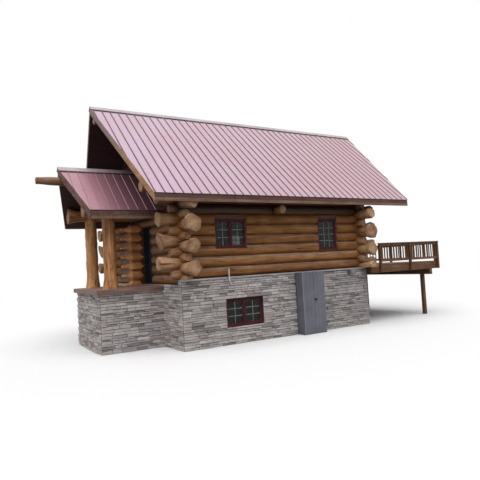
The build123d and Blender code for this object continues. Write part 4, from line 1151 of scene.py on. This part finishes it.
cladding = plain_finish("maroon_cladding", 0.4, (0.050, 0.009, 0.014), (0.088, 0.019, 0.027), 0.6, 0.75,
                        {"Specular IOR Level": 0.2})
bar_paint = plain_finish("window_bar_paint", 0.2, (0.20, 0.24, 0.22), (0.32, 0.36, 0.33), 0.4, 0.5)
casing_paint = plain_finish("casing_paint", 0.3, (0.13, 0.05, 0.045), (0.22, 0.095, 0.085), 0.6, 0.8,
                            {"Specular IOR Level": 0.25})
head_stain = wood_finish("head_board_stain", "x", (0.055, 0.026, 0.016), (0.11, 0.052, 0.034),
                         (0.18, 0.10, 0.07))
glass, shader, place = new_finish("window_glass")
feed(shader, {"Base Color": (0.22, 0.25, 0.24, 1), "Transmission Weight": 1.0, "IOR": 1.3,
              "Metallic": 0.0, "Roughness": spread(weather_at(place, 0.5)["Specks"], 0, 1, 0.02, 0.05)})
finish_nodes(glass, "front_window_glass", "back_window_glass", "basement_window_glass")
bar_half = 0.009
casing_width = 0.026
head_height = 0.146
sill_height = 0.028


def panes(node):
    """Low and high corners of the separate panes of a node, from left to right."""
    points = np.array([v.co for v in nodes[node].data.vertices])
    points = points[points[:, 0].argsort()]
    groups = np.split(points, np.nonzero(np.diff(points[:, 0]) > 0.12)[0] + 1)
    groups = [np.concatenate(groups[i:i + 2]) for i in range(0, len(groups), 2)]
    return [(group.min(0), group.max(0)) for group in groups]


def divide_sashes(name, glass_node, outward, divisions):
    """Narrow bars on the outside of each pane. Divisions are columns and rows."""
    bars = []
    for (low, high), (columns, rows) in zip(panes(glass_node), divisions):
        face = low[1] if outward < 0 else high[1]
        proud = face + outward * 0.014
        for number in range(1, columns):
            x = low[0] + (high[0] - low[0]) * number / columns
            bars.append(block((x - bar_half, face, low[2] - 0.002), (x + bar_half, proud, high[2] + 0.002)))
        for number in range(1, rows):
            z = low[2] + (high[2] - low[2]) * number / rows
            bars.append(block((low[0] - 0.002, face, z - bar_half), (high[0] + 0.002, proud, z + bar_half)))
    fix_piece(bars, name, bar_paint)


for node, outward, divisions in (
    ("front_window_frames", -1, [(2, 3), (2, 3), (3, 4)]),
    ("back_window_frames", 1, [(2, 3), (2, 3), (3, 4)]),
    ("basement_window_frame", -1, [(2, 3), (2, 3)]),
):
    divide_sashes(node.replace("frame", "bar"), node.rstrip("s").replace("frame", "glass"), outward,
                  divisions)
    plane(node, node + "_clad", cladding, 0.003)
    has_head = not node.startswith("basement")
    heads, caps, sills, casings = [], [], [], []
    for number in ((0, 1) if has_head else (0,)):
        low, high = window_room(node, number)
        face = low[1] if outward < 0 else high[1]

        def trim(x0, x1, z0, z1, proud):
            return block((x0, face - outward * 0.02, z0), (x1, face + outward * proud, z1))

        left, right, top = low[0] + 0.002, high[0] - 0.002, high[2]
        if has_head:
            heads.append(trim(left + 0.001, right - 0.001, top - head_height + 0.001, top - 0.004, 0.012))
            caps.append(trim(left, right, top - 0.024, top - 0.002, 0.026))
            top -= head_height
        sills.append(trim(left, right, low[2] - 0.002, low[2] + sill_height, 0.05))
        for edge, inner in ((left, casing_width), (right, -casing_width)):
            casings.append(trim(edge, edge + inner, low[2] + sill_height, top, 0.010))
    fix_piece(sills, node + "_sills", cladding)
    fix_piece(casings + caps, node + "_casing_strips", casing_paint if heads else cladding)
    if heads:
        fix_piece(heads, node + "_head_boards", head_stain)

# Entry door and the door onto the deck
# Insulated steel doors in dark navy with six pressed panels, hung on butt hinges in
# a wooden frame of the same colour.

navy = plain_finish("navy_paint", 0.5, (0.009, 0.013, 0.028), (0.020, 0.028, 0.052), 0.3, 0.42)
iron = plain_finish("dark_iron", 0.06, (0.02, 0.02, 0.02), (0.05, 0.048, 0.045), 0.4, 0.6,
                    {"Metallic": 0.8})
panel_rows = ((0.12, 0.30), (0.36, 0.68), (0.74, 0.93))
panel_stile = 0.11
hinge_reach = 0.014


def press_panels(name, low, high, faces, body):
    """Six raised panels on each face of a leaf, in two columns. Low and high are (y, z)."""
    panels = []
    width = (high[0] - low[0] - 3 * panel_stile) / 2
    for face_x, outward in faces:
        for column in (0, 1):
            left = low[0] + panel_stile + column * (width + panel_stile)
            for bottom, top in panel_rows:
                z0, z1 = (low[1] + (high[1] - low[1]) * share for share in (bottom, top))
                panel = block((face_x - outward * 0.002, left, z0),
                              (face_x + outward * 0.007, left + width, z1), 0)
                open_mesh(panel)
                choose_faces(panel, lambda c, n: n.x * outward > 0.9)
                for inset, rise in ((0.028, -0.006), (0.012, 0.005)):
                    bpy.ops.mesh.inset(thickness=inset, depth=0.0)
                    bpy.ops.transform.translate(value=(outward * rise, 0, 0))
                close_mesh()
                panels.append(panel)
    fix_piece(panels, name, navy, body=body)


low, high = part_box("entry_door")
press_panels("entry_door_panels", (low.y, low.z), (high.y - 0.01, high.z),
             ((low.x, -1), (high.x - hinge_reach, 1)), "entry_door")
low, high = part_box("deck_door")
press_panels("deck_door_panels", (low.y + 0.052, low.z + 0.02), (high.y - 0.052, high.z - 0.05),
             ((high.x - 0.06, 1),), "cabin")
finish_nodes(navy, "entry_door", "entry_door_frame", "deck_door")
finish_nodes(iron, "entry_door_knobs")

# Porch floor
# Planed boards laid along the porch on a stone-faced base, worn to a pinkish brown.

porch_stain = wood_finish("porch_boards", "x", (0.16, 0.09, 0.072), (0.29, 0.175, 0.145),
                          (0.42, 0.28, 0.24))
finish_nodes(porch_stain, "porch_floor")
lay_boards("porch_floor_boards", porch_stain, porch_low, porch_high, porch_high.z - 0.001,
           width=0.14, direction="x", seed=51)

# Porch logs
# Two stout posts worked with a drawknife, flaring at the foot, carry a plate log
# each. A tie and a king post stand over them and hold the porch's ridge log.

post_x = -5.73
post_offset = 1.15
plate_z = 4.72
plate_radius = 0.2
post_radius = 0.207
ridge_log_radius = 0.145
truss_tie_radius = 0.15
king_radius = 0.105
porch_under = plate_z + post_offset * tan_roof + plate_radius / cos_roof
post_foot = End(0.262, 0.62, "SHARP")
plate_end = End(0.285, 0.5, "SHARP")
ridge_log_end = End(0.115, 0.6, "SMOOTH")
adze = new_texture("adze_marks", "VORONOI", 0.09)
adze.distance_metric = "DISTANCE"
posts, plates = [], []
for side in (-1, 1):
    y = porch_y + side * post_offset
    posts.append(draw_log("z", porch_high.z, plate_z - 0.1, post_x, y, post_radius, (post_foot, None),
                          701 + side, dent=0.0, stain=sheltered_stain))
    roughen(posts[-1], adze, 0.036)
    plates.append(draw_log("x", -6.55, -gable_x - 0.1, y, plate_z, plate_radius - 0.006, (plate_end, None),
                           711 + side, stain=sheltered_stain))
    trim_to_slope(plates[-1], porch_y, porch_under - 0.002)
fix_piece(posts, "porch_peeled_posts", stands_for=["porch_posts"])
fix_piece(plates, "porch_peeled_plates", stands_for=["porch_plate_logs"])
low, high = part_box("porch_ridge_log")
ridge_z = (low.z + high.z) / 2
ridge = draw_log("x", low.x + 0.012, high.x, porch_y, ridge_z, ridge_log_radius,
                 (ridge_log_end, None), 721)
fix_piece(ridge, "porch_ridge_peeled_log", stands_for=["porch_ridge_log"])
tie_half = post_offset - 0.1
truss = [draw_log("y", porch_y - tie_half, porch_y + tie_half, post_x, plate_z, truss_tie_radius,
                  seed=731, stain=sheltered_stain),
         draw_log("z", plate_z + 0.1, ridge_z, post_x, porch_y, king_radius, seed=732,
                  stain=sheltered_stain)]
fix_piece(truss, "porch_peeled_truss", stands_for=["porch_truss"])
line_roof("porch_soffit_boards", porch_roof, porch_under, porch_roof.half_width - 0.055, 42)

# Closet
# Two painted board doors on a shallow case against the stone, with a pale strip down
# the corner, a thin cover board on top and a round knob.

slate = plain_finish("slate_paint", 0.7, (0.12, 0.125, 0.158), (0.18, 0.188, 0.225), 0.5, 0.68)
pale_slate = plain_finish("pale_slate_paint", 0.5, (0.20, 0.21, 0.24), (0.29, 0.30, 0.33), 0.5, 0.68)
finish_nodes(slate, "closet_sides", "closet_top", "closet_door_left", "closet_door_right")
finish_nodes(iron, "closet_knob")
closet_boards = 3
for node in ("closet_door_left", "closet_door_right"):
    low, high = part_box(node)
    left, right = (low.x + hinge_reach, high.x) if node.endswith("left") else (low.x, high.x - hinge_reach)
    foot, top = low.z + 0.004, high.z - 0.004
    pitch = (right - left) / closet_boards
    boards = [block((left + number * pitch + 0.002, low.y - 0.006, foot),
                    (left + (number + 1) * pitch - 0.002, low.y + 0.004, top), 0.004, 2)
              for number in range(closet_boards)]
    fix_piece(boards, node + "_boards", slate, body=node)
    if node.endswith("left"):
        strip = block((left + 0.001, low.y - 0.009, foot), (left + 0.042, low.y - 0.004, top), 0.002)
        fix_piece(strip, "closet_corner_strip", pale_slate, body=node)
low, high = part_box("closet_top")
cover = block((low.x - 0.012, low.y - 0.002, high.z), (high.x + 0.012, high.y, high.z + 0.018), 0.004, 2)
fix_piece(cover, "closet_cover_board", pale_slate)

# Deck
# Stained softwood: posts, a beam and joists under boards laid along the gable, and a
# railing of square balusters between two rails with a flat board on top.

deck_stain = {direction: wood_finish("deck_wood_" + direction, direction, (0.085, 0.036, 0.018),
                                     (0.18, 0.088, 0.045), (0.31, 0.175, 0.10))
              for direction in "xyz"}
for node, direction in (("deck_beam", "y"), ("deck_posts", "z"), ("deck_frame", "x"),
                        ("deck_front_rail", "z"), ("deck_back_rail", "z"), ("deck_end_rail", "z")):
    plane(node, node + "_planed", deck_stain[direction])
deck_low, deck_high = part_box("deck_floor")
finish_nodes(deck_stain["y"], "deck_floor")
# The boards leave room for the corner logs, and the third room splits every board in two
pocket_x, pocket_near, pocket_far = 4.72, 3.165, 3.675
rooms = [(pocket_x, -pocket_far, -pocket_near), (pocket_x, pocket_near, pocket_far), (99, 0.0, 0.0)]
lay_boards("deck_boards", deck_stain["y"], deck_low + Vector((0.02, 0, 0)), deck_high,
           deck_high.z - 0.001, width=0.14, direction="y", rooms=rooms, seed=61, run=(4, 5))

# Pale floor, soft light and the camera
# The floor keeps the cabin's shadow and fades to white away from it. The camera
# stands where the photograph was taken.


def seen_rays(tree):
    """1 for the rays that the camera sees straight, in a mirror or through glass."""
    paths = lay("LightPath", {}, tree)
    seen = step("MAXIMUM", paths["Is Camera Ray"], paths["Is Glossy Ray"])
    return step("MAXIMUM", seen, paths["Is Transmission Ray"])


floor_paint, shader, place = new_finish("studio_floor")
tree = place.id_data
seen = seen_rays(tree)
feed(shader, {"Base Color": mix(seen, (0.17, 0.17, 0.16, 1), (0.86, 0.86, 0.86)), "Roughness": 0.9})
distance = lay("VectorMath", {0: place}, operation="LENGTH")["Value"]
glow = lay("Emission", {"Color": (1, 1, 1, 1), "Strength": 1.0}, tree)[0]
faded = times(spread(distance, 14.0, 42.0), seen)
mixed = lay("MixShader", {0: faded, 1: shader.outputs[0], 2: glow})[0]
feed(tree.nodes["Material Output"], {"Surface": mixed})
start_alone()
bpy.ops.mesh.primitive_circle_add(vertices=96, radius=90, fill_type="NGON", location=(0, 0, -0.002))
floor = bpy.context.object
floor.name = "studio_floor"
set_place()
floor.data.materials.append(floor_paint)
floor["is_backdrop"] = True

world = bpy.data.worlds.new("soft_sky")
bpy.context.scene.world = world
world.use_nodes = True
feed(world.node_tree.nodes["Background"],
     {"Color": (1, 1, 1, 1), "Strength": spread(seen_rays(world.node_tree), 0, 1, 0.36, 1.0)})

sky = bpy.data.lights.new("soft_sky_light", "SUN")
sky.energy = 2.8
sky.angle = math.radians(68)
sky_lamp = place_in_scene("soft_sky_light", sky)
sky_lamp.rotation_euler = Vector((-0.28, -0.38, 1.1)).to_track_quat("Z", "Y").to_euler()

camera_place = Vector((-10.318, -17.686, 2.682))
camera_right = Vector((0.85526, -0.51538, -0.05494))
camera_up = Vector((0.02244, -0.06909, 0.99736))
camera_back = camera_right.cross(camera_up).normalized()
camera = bpy.data.cameras.new("photo_camera")
camera.sensor_width = 36
camera.lens = 36.26
camera.clip_end = 500
camera_object = place_in_scene("photo_camera", camera)
turn = Matrix((camera_right, camera_up, camera_back)).transposed().to_4x4()
camera_object.matrix_world = Matrix.Translation(camera_place) @ turn
bpy.context.scene.camera = camera_object
bpy.context.scene.view_settings.view_transform = "Standard"

low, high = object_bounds()
